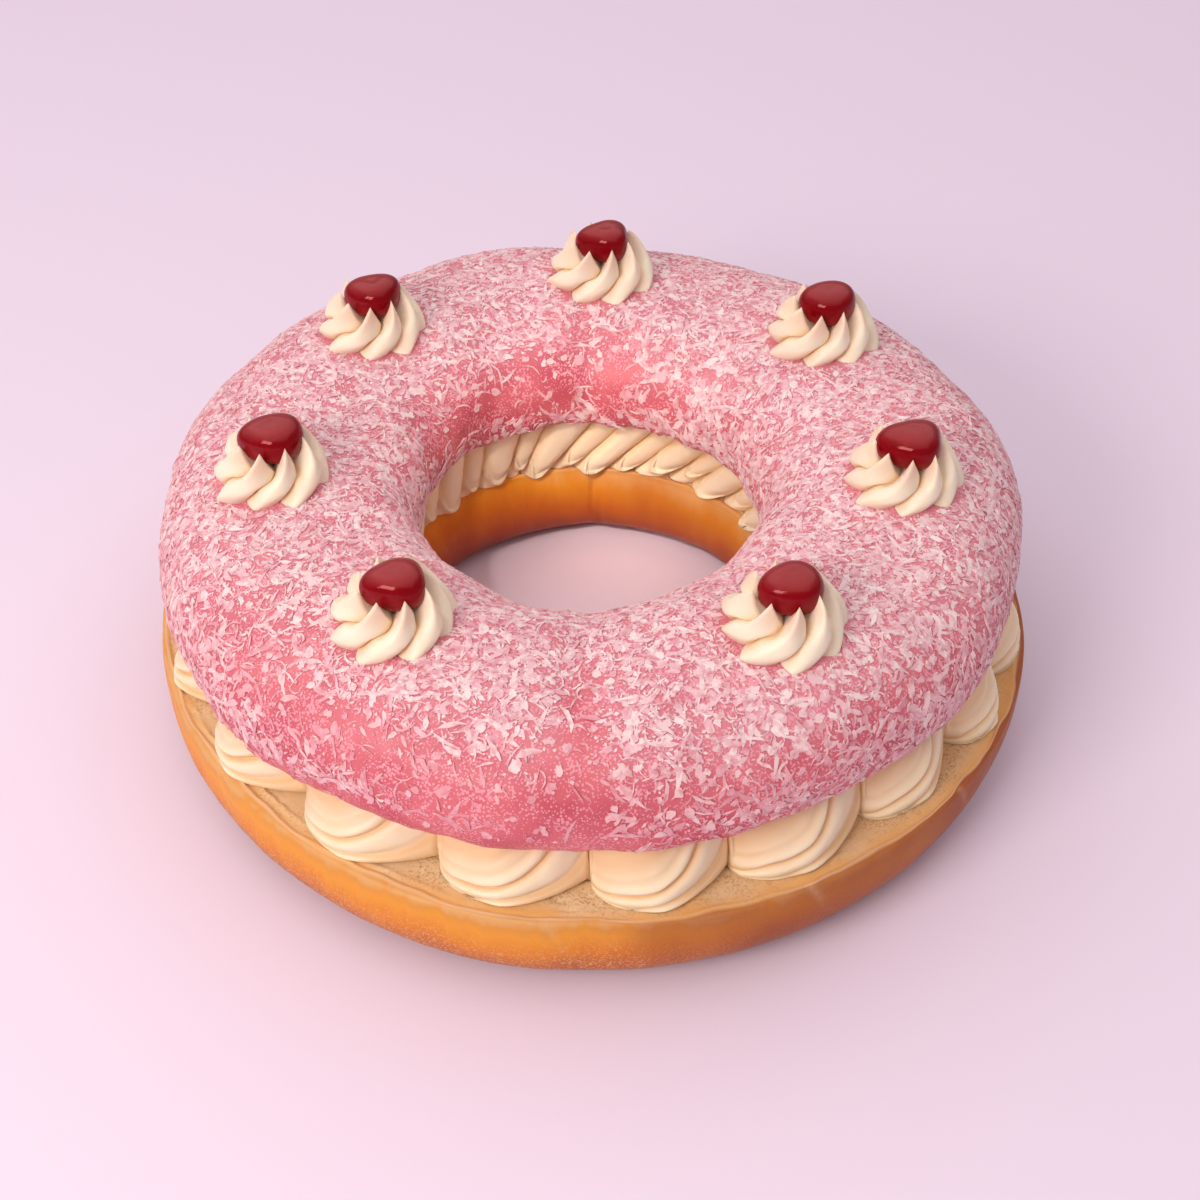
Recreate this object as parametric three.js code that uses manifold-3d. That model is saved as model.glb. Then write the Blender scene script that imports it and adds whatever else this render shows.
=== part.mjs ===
// A large party ring doughnut: a fried dough ring cut through its middle, filled with a row of piped
// buttercream swirls, and closed with a pink jelly-dipped half that is rolled in desiccated coconut.
// Seven twisted cream rosettes stand on top, each with a cherry.
//
// Units are millimetres, +Z up. The origin is on the surface that the ring stands on, in the middle of its
// hole. The front of the ring is towards -Y, and an azimuth of 0 is +X.

import * as THREE from 'three';
import { ParametricGeometry } from 'three/addons/geometries/ParametricGeometry.js';
import { mergeVertices } from 'three/addons/utils/BufferGeometryUtils.js';
import Module from 'manifold-3d';

const wasm = await Module();
wasm.setup();

const TURN = 2 * Math.PI;
const DEGREE = Math.PI / 180;

// ---- Driving dimensions ----

const GAP = 0.3; // air left between two pieces that touch

const BASE = {
  bottomInner: 66, bottomOuter: 107, // the flat ring that it stands on
  wallOuter: 125, wallOuterHeight: 21, // the widest point of the outer crust
  wallInner: 53, wallInnerHeight: 14, // the narrowest point of the hole
  outerRise: 33, innerRise: 18.5, // how slowly the crusts lean back above those points
};
const CUT = { height: 28, slopeX: -0.022, slopeY: -0.016 }; // the hand-cut plane of the lower half

const TOP = {
  edgeHeight: 50.7, slopeX: 0.008, // the plane of the upper half's cut face
  offsetX: -1.4, // it sits a little to the left of the lower half
  middle: 84, // radius of its highest line
  outward: 36.2, inward: 36.2, // from there to its outer and inner walls
  flank: 5.8, // its walls bulge out over this height above the edge
  flankCurve: 22,
  rise: 23.7, // from the widest point to the highest line
  squareness: 2.3, // exponent of the dome's superellipse: 2 is an ellipse
};
const SEAM = { depth: 1.2, width: 4.5 * DEGREE }; // where the dough's two ends met, and opposite
const HOLLOW = { depth: 3.2, width: 24 * DEGREE }; // the upper half's hole is a little pointed at the front
const RING_STEPS = 60;

const CREAM = {
  // Degrees between two swirls, from the left over the front to the right. The rest are even.
  valleys: [-166.5, -150.6, -131.1, -110.3, -90.4, -72.1, -51.5, -32.6, -18.4, -2.8],
  evenSwirls: 10,
  valleyGap: 0.4 * DEGREE,
  crest: 122, valley: 110.8, // outer radius at a swirl's crest and between two swirls
  crestAside: 0.6, // the swirls at the two sides reach this much further
  setBack: [0, 0, 0, 0, 0, 2.4, 2.4, 0, 0], // how far the crests of the given swirls stand back
  crestShare: 0.45, flankBend: 1.4, // the crest lies left of the middle, with a longer flank on its right
  foot: 0.2, // how far a swirl tucks in at its foot
  shoulder: 9, // and at its top, under the pink half
  waist: 0.3, // share of the height at which it is widest
  ledge: 0.9, // how far the low ridge stands out
  ridgeDepth: 2.3, // depth of the upper crease
  hollow: 2.3, // how far the face above it lies back
  columns: 6, // steps across one swirl
  innerCrest: 53.2, innerValley: 56.8, innerToe: 2.2, // the slanting ribs that show inside the hole
  wideRib: 2 / 3, narrowRibHeight: 0.66, // each swirl has a wide rib, and a narrower one that stands lower
  ribSlant: 3.5 * DEGREE, ribLean: 17 * DEGREE, // everywhere, and more at the back and the right
};

const ROSETTE = {
  azimuths: [87.4, 37.1, -9.6, -55.5, -125, -173.2, 138], // degrees
  ringRadii: [86, 86, 86, 86, 83.7, 86, 86],
  lobes: 8, stepsPerLobe: 3,
  baseRadius: 16.4, height: 10.4,
  twist: 45 * DEGREE,
  clawRise: 2.6, clawDip: 3.2, // its crown: each lobe ends in a claw, with a dip beside it
  valleyShare: 0.7, // radius between two lobes against the radius on a lobe
  rootDepth: 5, // it starts this far down in the dough before it is trimmed to the dome
};
const CHERRY = {
  width: 16.8, deep: 14.2, tall: 11.4, sizeSpread: 0.05,
  rightward: 1, centre: 11.8, // its place over the foot of its rosette
  squareness: 2.5, corners: 0.06, cornerAzimuth: 60 * DEGREE, // three soft corners
  dent: 0.5, tilt: 0.09, // its flat top sinks a little and slopes
  around: 9, down: 6,
};

const COCONUT = {
  count: 146, seed: 7,
  longest: 13, shortest: 6, // flake lengths
  width: 2.8, thickness: 1.2,
  lean: 0.3, // radians that a flake may tip out of the surface it lies on
  clearOfRosette: 24, clearOfSeam: 7 * DEGREE,
};

// ---- Small tools ----

const { clamp, lerp, smoothstep } = THREE.MathUtils;

// A repeatable random number from 0 to 1, by a linear congruential rule.
function randomSource(seed) {
  let state = seed;
  return () => {
    state = (state * 1664525 + 1013904223) % 4294967296;
    return state / 4294967296;
  };
}

const signedPower = (x, power) => Math.sign(x) * Math.abs(x) ** power;
const bell = (x, width) => Math.exp(-((x / width) ** 2));

// How far an azimuth is from the nearer seam, at the front or the back, and from the front.
const fromSeam = (azimuth) => Math.asin(Math.min(1, Math.abs(Math.cos(azimuth))));
const fromFront = (azimuth) => Math.acos(-Math.sin(azimuth));

// A closed surface from place(u, v), with u and v from 0 to 1. Both directions may close on themselves.
function surface(place, uSteps, vSteps) {
  const geometry = new ParametricGeometry(
    (u, v, target) => target.fromArray(place(u, v)), uSteps, vSteps);
  geometry.deleteAttribute('normal');
  geometry.deleteAttribute('uv');
  return mergeVertices(geometry, 1e-4);
}

// A ring whose section changes with the azimuth: loop(azimuth) lists the section's points, each as
// [radius, height] or [radius, height, turn], where turn moves the point round the ring.
function ring(loop, azimuths) {
  const loops = azimuths.map(loop);
  const points = loops[0].length;
  const place = (u, v) => {
    const i = Math.round(u * azimuths.length) % azimuths.length;
    const [radius, height, turn = 0] = loops[i][Math.round(v * points) % points];
    const azimuth = azimuths[i] + turn;
    return [radius * Math.cos(azimuth), radius * Math.sin(azimuth), height];
  };
  return surface(place, azimuths.length, points);
}

function evenAzimuths(count) {
  return Array.from({ length: count }, (_, i) => (i * TURN) / count);
}

// Points from one angle to the other on an ellipse, both ends included.
function arc(centre, radii, from, to, steps) {
  return Array.from({ length: steps + 1 }, (_, i) => {
    const angle = from + ((to - from) * i) / steps;
    return [centre[0] + radii[0] * Math.cos(angle), centre[1] + radii[1] * Math.sin(angle)];
  });
}

// A geometry as a solid for cutting and joining, and back.
function solidOf(geometry) {
  const bare = new THREE.BufferGeometry();
  bare.setAttribute('position', geometry.getAttribute('position'));
  if (geometry.index) bare.setIndex(geometry.index);
  const merged = mergeVertices(bare, 1e-4);
  return new wasm.Manifold(new wasm.Mesh({
    numProp: 3,
    vertProperties: new Float32Array(merged.attributes.position.array),
    triVerts: new Uint32Array(merged.index.array),
  }));
}

function geometryOf(solid) {
  const { numProp, numVert, vertProperties, triVerts } = solid.getMesh();
  const positions = new Float32Array(numVert * 3);
  for (let i = 0; i < numVert; i++) {
    positions.set(vertProperties.subarray(i * numProp, i * numProp + 3), i * 3);
  }
  const geometry = new THREE.BufferGeometry();
  geometry.setAttribute('position', new THREE.BufferAttribute(positions, 3));
  geometry.setIndex(new THREE.BufferAttribute(triVerts, 1));
  return geometry;
}

// ---- Lower half: a browned crust round a flat cut face ----

// A hand-formed ring is never quite round. Even waves keep it centred on the origin.
const wobble = (azimuth) => 0.6 * Math.cos(2 * azimuth + 2.8) + 0.4 * Math.cos(4 * azimuth + 0.8);

const cutHeight = (radius, azimuth) => CUT.height
  + CUT.slopeX * radius * Math.cos(azimuth) + CUT.slopeY * radius * Math.sin(azimuth);

function baseLoop(azimuth) {
  const seam = SEAM.depth * bell(fromSeam(azimuth), SEAM.width);
  const outer = [BASE.bottomOuter, BASE.wallOuterHeight];
  const inner = [BASE.bottomInner, BASE.wallInnerHeight];
  const outerReach = BASE.wallOuter - BASE.bottomOuter + wobble(azimuth) - seam;
  const innerReach = BASE.bottomInner - BASE.wallInner - seam;
  const outerLean = Math.asin((cutHeight(BASE.wallOuter, azimuth) - BASE.wallOuterHeight) / BASE.outerRise);
  const innerLean = Math.asin((cutHeight(BASE.wallInner, azimuth) - BASE.wallInnerHeight) / BASE.innerRise);
  return [
    ...arc(outer, [outerReach, BASE.wallOuterHeight], -Math.PI / 2, 0, 4),
    ...arc(outer, [outerReach, BASE.outerRise], 0, outerLean, 1).slice(1),
    ...arc(inner, [innerReach, BASE.innerRise], Math.PI - innerLean, Math.PI, 2),
    ...arc(inner, [innerReach, BASE.wallInnerHeight], Math.PI, 1.5 * Math.PI, 3).slice(1),
  ];
}

// ---- Upper half: a dipped dome with a flat underside ----

const topEdgeHeight = (x) => TOP.edgeHeight + TOP.slopeX * x;

// Soft swellings of the dough, and the shallow seams at the front and the back.
function domeRelief(azimuth, angle) {
  const swell = 0.7 * Math.sin(3 * azimuth + 1.3) * Math.cos(angle - 0.6)
    + 0.5 * Math.sin(7 * azimuth + 2 * angle)
    + 0.4 * Math.sin(11 * azimuth - 3 * angle + 2);
  return swell - SEAM.depth * bell(fromSeam(azimuth), SEAM.width);
}

// A point of the dome: angle 0 is its outer wall, 90 degrees its highest line, 180 its inner wall.
function domePoint(azimuth, angle, inflate = 0) {
  const c = Math.cos(angle);
  const s = Math.sin(angle);
  const reach = c > 0 ? TOP.outward : TOP.inward - HOLLOW.depth * bell(fromFront(azimuth), HOLLOW.width);
  const power = s > 0 ? 2 / TOP.squareness : 1;
  const out = domeRelief(azimuth, angle) + inflate;
  const radius = TOP.middle + reach * signedPower(c, power) + out * c;
  const above = s > 0 ? TOP.rise * s ** power : TOP.flankCurve * s;
  const x = radius * Math.cos(azimuth);
  return [radius, topEdgeHeight(x) + TOP.flank + above + out * Math.max(s, 0)];
}

const FLANK_ANGLE = Math.asin(TOP.flank / TOP.flankCurve);
const DOME_ANGLES = [
  -FLANK_ANGLE,
  ...[0, 15, 32, 50, 70, 90, 110, 130, 148, 165, 180].map((degrees) => degrees * DEGREE),
  Math.PI + FLANK_ANGLE,
];

function dome(inflate = 0) {
  const section = (azimuth) => DOME_ANGLES.map((angle) => domePoint(azimuth, angle, inflate));
  return ring(section, evenAzimuths(RING_STEPS)).translate(TOP.offsetX, 0, 0);
}

function onDome(azimuth, angle) {
  const [radius, height] = domePoint(azimuth, angle);
  return new THREE.Vector3(radius * Math.cos(azimuth) + TOP.offsetX, radius * Math.sin(azimuth), height);
}

const rosetteCentres = ROSETTE.azimuths.map((degrees, i) => {
  const x = ROSETTE.ringRadii[i] * Math.cos(degrees * DEGREE) + TOP.offsetX;
  const y = ROSETTE.ringRadii[i] * Math.sin(degrees * DEGREE);
  return new THREE.Vector3(x, y, topEdgeHeight(x) + TOP.flank + TOP.rise);
});

// A coconut flake that lies flat at the origin: half of them are pointed slivers, half are blunt chips.
function flake(length, random) {
  const sliver = random() < 0.5;
  const wide = COCONUT.width * (0.7 + 0.6 * random());
  const shape = sliver
    ? new THREE.OctahedronGeometry(0.5).scale(length, 1.4 * wide, 2 * COCONUT.thickness)
    : new THREE.BoxGeometry(0.7 * length, 0.7 * wide, COCONUT.thickness);
  shape.rotateZ(TURN * random());
  shape.rotateX(COCONUT.lean * (random() - 0.5));
  shape.rotateY(COCONUT.lean * (random() - 0.5));
  return shape;
}

// The dome with its largest flakes fused on, longest first, spread by the golden angle round the ring and by
// the plastic ratio over its section, clear of the rosettes, of the seams and of the cut face.
function coatedDome() {
  const random = randomSource(COCONUT.seed);
  const goldenAngle = TURN * (1 - 1 / 1.618034);
  const plasticStep = 1 / 1.324718;
  const step = 0.01;
  const flakes = [];
  for (let i = 0; i < COCONUT.count; i++) {
    const azimuth = (i * goldenAngle) % TURN;
    const angle = Math.PI * (0.04 + 0.88 * ((i * plasticStep) % 1));
    const length = lerp(COCONUT.longest, COCONUT.shortest, i / COCONUT.count);
    const shape = flake(length, random);
    const here = onDome(azimuth, angle);
    const crowded = rosetteCentres.some((centre) => centre.distanceTo(here) < COCONUT.clearOfRosette);
    if (crowded || fromSeam(azimuth) < COCONUT.clearOfSeam) continue;
    const round = onDome(azimuth + step, angle).sub(here).normalize();
    const upwards = onDome(azimuth, angle + step).sub(here);
    const normal = round.clone().cross(upwards).normalize();
    const across = normal.clone().cross(round);
    shape.applyMatrix4(new THREE.Matrix4().makeBasis(round, across, normal).setPosition(here));
    flakes.push(solidOf(shape));
  }
  return wasm.Manifold.union([solidOf(dome()), ...flakes]);
}

// ---- Filling: a ring of piped swirls, with slanting ribs towards the hole ----

// The upright columns of points that the ring is made of. On the outside they stand close together near the
// valleys, which keeps the swirls round. Inside the hole they are even.
function creamColumns() {
  const valleys = CREAM.valleys.map((degrees) => degrees * DEGREE);
  const last = valleys[valleys.length - 1];
  const evenStep = (valleys[0] + TURN - last) / CREAM.evenSwirls;
  for (let i = 1; i <= CREAM.evenSwirls; i++) valleys.push(last + i * evenStep);
  const columns = [];
  for (let swirl = 0; swirl < valleys.length - 1; swirl++) {
    const width = valleys[swirl + 1] - valleys[swirl] - CREAM.valleyGap;
    for (let step = 0; step <= CREAM.columns; step++) {
      const even = step / CREAM.columns;
      const share = (1 - Math.cos(Math.PI * even)) / 2;
      columns.push({
        even,
        share,
        azimuth: valleys[swirl] + width * share,
        innerTurn: width * (even - share),
        setBack: CREAM.setBack[swirl] ?? 0,
      });
    }
  }
  return columns;
}

// A point of the filling at a share of its height, from the lower half's cut face to the upper half's.
function creamPoint(radius, share, azimuth, turn = 0) {
  const bottom = cutHeight(radius, azimuth + turn) + GAP;
  const top = topEdgeHeight(radius * Math.cos(azimuth + turn)) - GAP;
  return [radius, bottom + share * (top - bottom), turn];
}

// A swirl's outline from above, 0 at its ends and 1 at its crest: a quarter ellipse on the left, and a
// longer, straighter flank on the right.
function swirlOutline(share) {
  const left = Math.max(0, 1 - share / CREAM.crestShare);
  const right = Math.max(0, (share - CREAM.crestShare) / (1 - CREAM.crestShare));
  return Math.sqrt(1 - left * left) * (1 - right ** CREAM.flankBend);
}

// Height shares of a swirl's two creases. Both start low at its left and rise ever steeper: the upper one
// along a quarter circle, the lower one along a squarer curve that starts further right.
function swirlCreases(share) {
  const lower = clamp((share - 0.3) / 0.7, 0, 1);
  const upper = clamp((share - 0.13) / 0.72, 0, 1);
  const low = 0.03 + 0.07 * smoothstep(share, 0.2, 0.55) + 0.75 * (1 - (1 - lower ** 2.6) ** (1 / 2.6));
  const high = 0.05 + 0.12 * smoothstep(share, 0, 0.25) + 1 - Math.sqrt(1 - upper * upper);
  return [low, clamp(high, low + 0.04, 0.93)];
}

// The outer wall of one column: a low ridge that stands out, a crease, a broad ridge, the upper crease, and
// the face that lies back above it. Each row is a height share and how far it lies back.
function creamOuterWall({ even, share, azimuth, setBack }) {
  const crest = CREAM.crest + CREAM.crestAside * Math.cos(azimuth) ** 2 - setBack;
  const plan = CREAM.valley + (crest - CREAM.valley) * swirlOutline(share);
  const [low, high] = swirlCreases(share);
  const apart = smoothstep(share, 0.3, 0.55);
  const tall = TOP.edgeHeight - CUT.height;
  const depth = CREAM.ridgeDepth * Math.min(1, 0.25 + ((high - low) * tall) / 5);
  const rows = [
    [0, 0], [low / 2, -CREAM.ledge * apart], [low, apart],
    [(low + high) / 2, 0], [high, depth],
    [lerp(high, 1, 0.12), 1], [lerp(high, 1, 0.5), 0.9 * CREAM.hollow], [1, CREAM.hollow],
  ];
  const atValley = even === 0 || even === 1;
  return rows.map(([up, back]) => {
    const tuck = up < CREAM.waist
      ? CREAM.foot * (1 - up / CREAM.waist) ** 2
      : CREAM.shoulder * ((up - CREAM.waist) / (1 - CREAM.waist)) ** 2;
    return creamPoint(plan - tuck - (atValley ? 0 : back), up, azimuth);
  });
}

// The inner wall of one column: slanting ribs, with toes that tuck in over the lower half's edge.
function creamInnerWall({ even, azimuth, innerTurn }) {
  const out = even < CREAM.wideRib
    ? Math.sin((Math.PI * even) / CREAM.wideRib) ** 0.6
    : CREAM.narrowRibHeight * Math.abs(Math.sin((Math.PI * (even - CREAM.wideRib)) / (1 - CREAM.wideRib)));
  const plan = lerp(CREAM.innerValley, CREAM.innerCrest, out);
  const leaning = (1 - smoothstep(azimuth, 84 * DEGREE, 128 * DEGREE)) * smoothstep(azimuth, -60 * DEGREE, 0);
  const slant = CREAM.ribSlant + CREAM.ribLean * leaning;
  return [1, 0.45, 0.12, 0].map((share) => {
    const radius = plan + (share === 0 ? CREAM.innerToe : 0);
    return creamPoint(radius, share, azimuth, innerTurn + slant * (0.5 - share));
  });
}

function creamRing() {
  const columns = creamColumns();
  const section = (_, i) => [...creamOuterWall(columns[i]), ...creamInnerWall(columns[i])];
  return ring(section, columns.map((column) => column.azimuth));
}

// ---- Rosettes and cherries ----

// Height shares and radius shares up a rosette: a flared foot, a full belly and a crown round the cherry.
const ROSETTE_FORM = [[0, 1], [0.4, 0.94], [0.75, 0.76], [1, 0.54]];

// A star-nozzle rosette: its lobes turn as they rise, so that each runs from a pointed foot to the crown.
function rosetteGeometry(turn) {
  const root = -ROSETTE.rootDepth / ROSETTE.height;
  const rows = [[root, 0], [root, 0.8], ...ROSETTE_FORM, [0.6, 0]];
  const steps = ROSETTE.lobes * ROSETTE.stepsPerLobe;
  return surface((u, v) => {
    const step = Math.round(u * steps) % steps;
    const [up, out] = rows[Math.round(v * (rows.length - 1))];
    const valley = step % ROSETTE.stepsPerLobe === 0;
    const radius = ROSETTE.baseRadius * out * (valley ? ROSETTE.valleyShare : 1);
    const angle = turn + (TURN * step) / steps + ROSETTE.twist * Math.max(up, 0);
    const claw = out > 0 ? smoothstep(up, 0.4, 1) * (valley ? -ROSETTE.clawDip : ROSETTE.clawRise) : 0;
    return [radius * Math.cos(angle), radius * Math.sin(angle), up * ROSETTE.height + claw];
  }, steps, rows.length - 1);
}

// A cherry: a squarish ball with three soft corners and a flat, slightly sunken top, each turned its own way.
function cherryGeometry(index, inflate = 0) {
  const shape = new THREE.SphereGeometry(1, CHERRY.around, CHERRY.down).rotateX(Math.PI / 2);
  const position = shape.getAttribute('position');
  const corner = CHERRY.cornerAzimuth + 0.25 * Math.sin(5 * index);
  const corners = CHERRY.corners * (1 + 0.6 * Math.sin(3 * index + 1));
  const size = 1 + CHERRY.sizeSpread * Math.sin(2 * index + 4);
  const power = 2 / CHERRY.squareness;
  for (let i = 0; i < position.count; i++) {
    const azimuth = Math.atan2(position.getY(i), position.getX(i));
    const up = position.getZ(i);
    const level = Math.sqrt(Math.max(0, 1 - up * up)) ** power;
    const plan = level * (1 + corners * Math.cos(3 * (azimuth - corner)));
    const x = (size * CHERRY.width / 2 + inflate) * plan * Math.cos(azimuth);
    const y = (size * CHERRY.deep / 2 + inflate) * plan * Math.sin(azimuth);
    const sunk = CHERRY.dent * Math.max(0, up) * (1 - level) ** 2;
    const sloped = CHERRY.tilt * x * smoothstep(up, -1, 1);
    position.setXYZ(i, x, y, (CHERRY.tall / 2 + inflate) * signedPower(up, power) - sunk + sloped);
  }
  return shape;
}

// ---- The materials' colours, as on a shelf under daylight ----

const material = (color, roughness) => new THREE.MeshStandardMaterial({ color, roughness, metalness: 0 });
const friedDough = material('#d4863f', 0.55);
const buttercream = material('#f4dbb4', 0.5);
const pinkCoconut = material('#e59aa5', 0.65);
const cherryRed = material('#8c0712', 0.15);

function piece(name, geometry, finish) {
  geometry.computeVertexNormals();
  const mesh = new THREE.Mesh(geometry, finish);
  mesh.name = name;
  return mesh;
}

// ---- The whole ----

const doughnut = new THREE.Group();
doughnut.add(piece('base_half', ring(baseLoop, evenAzimuths(RING_STEPS)), friedDough));
doughnut.add(piece('cream_filling', creamRing(), buttercream));
doughnut.add(piece('top_half', geometryOf(coatedDome()), pinkCoconut));

// Each rosette is trimmed to the dome that it stands on, and has a socket for its cherry.
const domeWithGap = solidOf(dome(GAP));
const cherryPlace = [CHERRY.rightward, 0, CHERRY.centre];
rosetteCentres.forEach((centre, i) => {
  const socket = solidOf(cherryGeometry(i, GAP)).translate(cherryPlace);
  const ground = domeWithGap.translate(centre.clone().negate().toArray());
  const rosette = solidOf(rosetteGeometry(i)).subtract(ground).subtract(socket);
  const cherry = piece(`cherry_${i + 1}`, cherryGeometry(i), cherryRed);
  cherry.position.fromArray(cherryPlace);
  const topping = new THREE.Group();
  topping.position.copy(centre);
  topping.add(piece(`rosette_${i + 1}`, geometryOf(rosette), buttercream), cherry);
  doughnut.add(topping);
});

export default doughnut;
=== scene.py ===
# A large party ring doughnut: a browned ring of fried dough, cut through its middle and filled with piped
# buttercream, closed with a half that is dipped in pink jelly and rolled in desiccated coconut, and topped
# with seven cream rosettes that each hold a glace cherry.
#
# Sizes are millimetres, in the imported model's frame: +Z up, the front towards -Y, and azimuth 0 along +X.
# Angles are written in degrees and turned to radians before they are used. Only mesh_piece(), the materials
# and the stage go over to metres.

from functools import partial
from types import SimpleNamespace as Sizes

import bpy
import numpy as np
from mathutils import Matrix, Vector


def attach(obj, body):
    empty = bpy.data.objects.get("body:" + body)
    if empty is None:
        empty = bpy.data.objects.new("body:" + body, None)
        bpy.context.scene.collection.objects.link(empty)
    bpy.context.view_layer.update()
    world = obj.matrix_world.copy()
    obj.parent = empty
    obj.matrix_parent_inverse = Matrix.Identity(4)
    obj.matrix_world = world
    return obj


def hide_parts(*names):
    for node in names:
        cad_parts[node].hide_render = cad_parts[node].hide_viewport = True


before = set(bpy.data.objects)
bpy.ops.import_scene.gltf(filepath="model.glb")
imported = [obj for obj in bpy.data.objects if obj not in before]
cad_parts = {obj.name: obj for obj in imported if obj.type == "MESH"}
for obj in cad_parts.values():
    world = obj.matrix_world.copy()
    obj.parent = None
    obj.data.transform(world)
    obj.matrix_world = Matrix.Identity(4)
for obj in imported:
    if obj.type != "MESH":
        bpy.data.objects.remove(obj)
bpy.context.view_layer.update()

MM = 0.001
TURN = 2 * np.pi
radians = np.radians

# ---- Sizes that the solids have too ----

BASE = Sizes(
    bottom_inner=66, bottom_outer=107,  # the flat ring that it stands on
    wall_outer=125, wall_outer_height=21,  # the widest point of the outer crust
    wall_inner=53, wall_inner_height=14,  # the narrowest point of the hole
    outer_rise=33, inner_rise=18.5,  # how slowly the crusts lean back above those points
)
CUT = Sizes(height=28, slope_x=-0.022, slope_y=-0.016)  # the hand-cut plane of the lower half
TOP = Sizes(
    edge_height=50.7, slope_x=0.008, offset_x=-1.4,
    middle=84, outward=36.2, inward=36.2,  # radius of its highest line, and from there to its walls
    flank=5.8, flank_curve=22, rise=23.7, squareness=2.3,
)
SEAM = Sizes(depth=1.2, width=radians(4.5))  # the shallow seams at the front and at the back
HOLLOW = Sizes(depth=3.2, width=radians(24))  # the upper half's hole reaches that much further to the front
CREAM = Sizes(
    gap=0.3,  # to the halves below and above
    valleys=[-166.5, -150.6, -131.1, -110.3, -90.4, -72.1, -51.5, -32.6, -18.4, -2.8], even_swirls=10,
    crest=122, valley=110.8, crest_aside=0.6,
    set_back=[0, 0, 0, 0, 0, 2.4, 2.4, 0, 0],  # how far the crests of the given swirls stand back
    start=[0.02, 0, -0.02, 0.02, 0, -0.08, -0.12, -0.12, -0.12],  # where their creases start
    crest_share=0.45, flank_bend=1.4,
    foot=0.2, shoulder=9, waist=0.3,  # how far the wall tucks in below and above its waist
    ridge_depth=2.3, ledge=0.9,  # how deep its creases are, and how far the low ridge stands out
    # The faint rings above the upper crease: how far from it, how wide and how deep.
    ring_distances=[4.6, 7.8, 10.8], ring_widths=[1.1, 0.9, 0.8], ring_depths=[0.8, 0.4, 0.25],
    inner_crest=53.2, inner_valley=56.8,
    wide_rib=0.6, narrow_rib=0.66,  # the wide rib's share of a swirl, and how far out the narrow one stands
    torn_azimuth=radians(55), torn_width=radians(35),  # where the ribs' toes are the most ragged
)
ROSETTE = Sizes(
    azimuths=[87.4, 37.1, -9.6, -55.5, -125, -173.2, 138], ring_radii=[86, 86, 86, 86, 83.7, 86, 86],
    lobes=8, radius=16.2, height=10.4, twist=radians(45), valley=0.75,
    foot=0.22, narrowing=0.46,  # the share of its height that is sunk in, and how much narrower its top is
    claw_low=-4.6, claw_high=3.4, bowl=5.0,  # its upper edge at grooves and lobes, and the bowl's height
    lobe_columns=20, foot_rows=3, rows=36, bowl_rows=8,
    keep_off=0.93,  # the share of its radius that the coconut keeps off
)
CHERRY = Sizes(
    width=16.8, deep=14.2, tall=11.4, size_spread=0.05, rightward=1, centre=11.8,
    squareness=2.5, corners=0.06, corner_azimuth=radians(60), dent=0.5,
    columns=80, rows=46,
)
SAMPLE_RADIUS = 100  # the circle along which noise that only goes round the ring is read


# ---- Small tools ----

def even(count, start=0.0, end=1.0):
    """Even steps from start to end, both included."""
    return np.linspace(start, end, count)


def round_ring(count):
    """Azimuths of that many even columns round the ring."""
    return np.arange(count) * TURN / count


def bell(x, width):
    """1 at 0, and lower by e^-(x / width)^2 on both sides."""
    return np.exp(-(x / width) ** 2)


def smooth_step(low, high, x):
    """0 below low, 1 above high, and an S curve between them."""
    share = np.clip((x - low) / (high - low), 0, 1)
    return share * share * (3 - 2 * share)


def signed_power(x, power):
    """The size of x to a power, with the sign of x."""
    return np.sign(x) * np.abs(x) ** power


def lerp(low, high, share):
    """The value that share of the way from low to high."""
    return low + (high - low) * share


def from_seam(azimuth):
    """The turn to the nearer of the two seams, at the front and at the back."""
    return np.arcsin(np.minimum(1, np.abs(np.cos(azimuth))))


def from_front(azimuth):
    """The turn to the front."""
    return np.arccos(np.clip(-np.sin(azimuth), -1, 1))


def apart(azimuth, other):
    """The smaller turn between two azimuths."""
    return np.abs((azimuth - other + np.pi) % TURN - np.pi)


def noise(points, size, seed):
    """Smooth random values from -1 to 1: every corner of a grid with cells of that size gets a hashed
    number, and a point gets the mix of its cell's eight corners by an S curve along each axis."""
    cell = np.asarray(points) / size
    low = np.floor(cell).astype(np.int64)
    share = cell - low
    share = share * share * (3 - 2 * share)
    total = 0
    for corner in np.ndindex(2, 2, 2):
        where = (low + corner).astype(np.uint64)
        mixed = (where[..., 0] * np.uint64(73856093)) ^ (where[..., 1] * np.uint64(19349663))
        mixed = (mixed ^ (where[..., 2] * np.uint64(83492791))) + np.uint64(seed * 2654435761)
        mixed = (mixed ^ (mixed >> np.uint64(15))) * np.uint64(2246822519)
        mixed = (mixed ^ (mixed >> np.uint64(13))) & np.uint64(0xFFFFFF)
        weight = np.prod(np.where(corner, share, 1 - share), axis=-1)
        total = total + weight * (mixed / float(0x7FFFFF) - 1)
    return total


def at(radius, azimuth, height):
    """Points from their radius, azimuth and height."""
    radius, azimuth, height = np.broadcast_arrays(radius, azimuth, height)
    return np.stack([radius * np.cos(azimuth), radius * np.sin(azimuth), height], -1)


def unit(vectors):
    """Each vector at a length of 1."""
    return vectors / np.maximum(np.linalg.norm(vectors, axis=-1, keepdims=True), 1e-9)


def pushed(points, distance):
    """A grid that closes both ways, with each point moved out along the cross product of the grid's two
    directions there."""
    around = np.roll(points, -1, 1) - np.roll(points, 1, 1)
    along = np.roll(points, -1, 0) - np.roll(points, 1, 0)
    return points + unit(np.cross(around, along)) * np.asarray(distance)[..., None]


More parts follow.
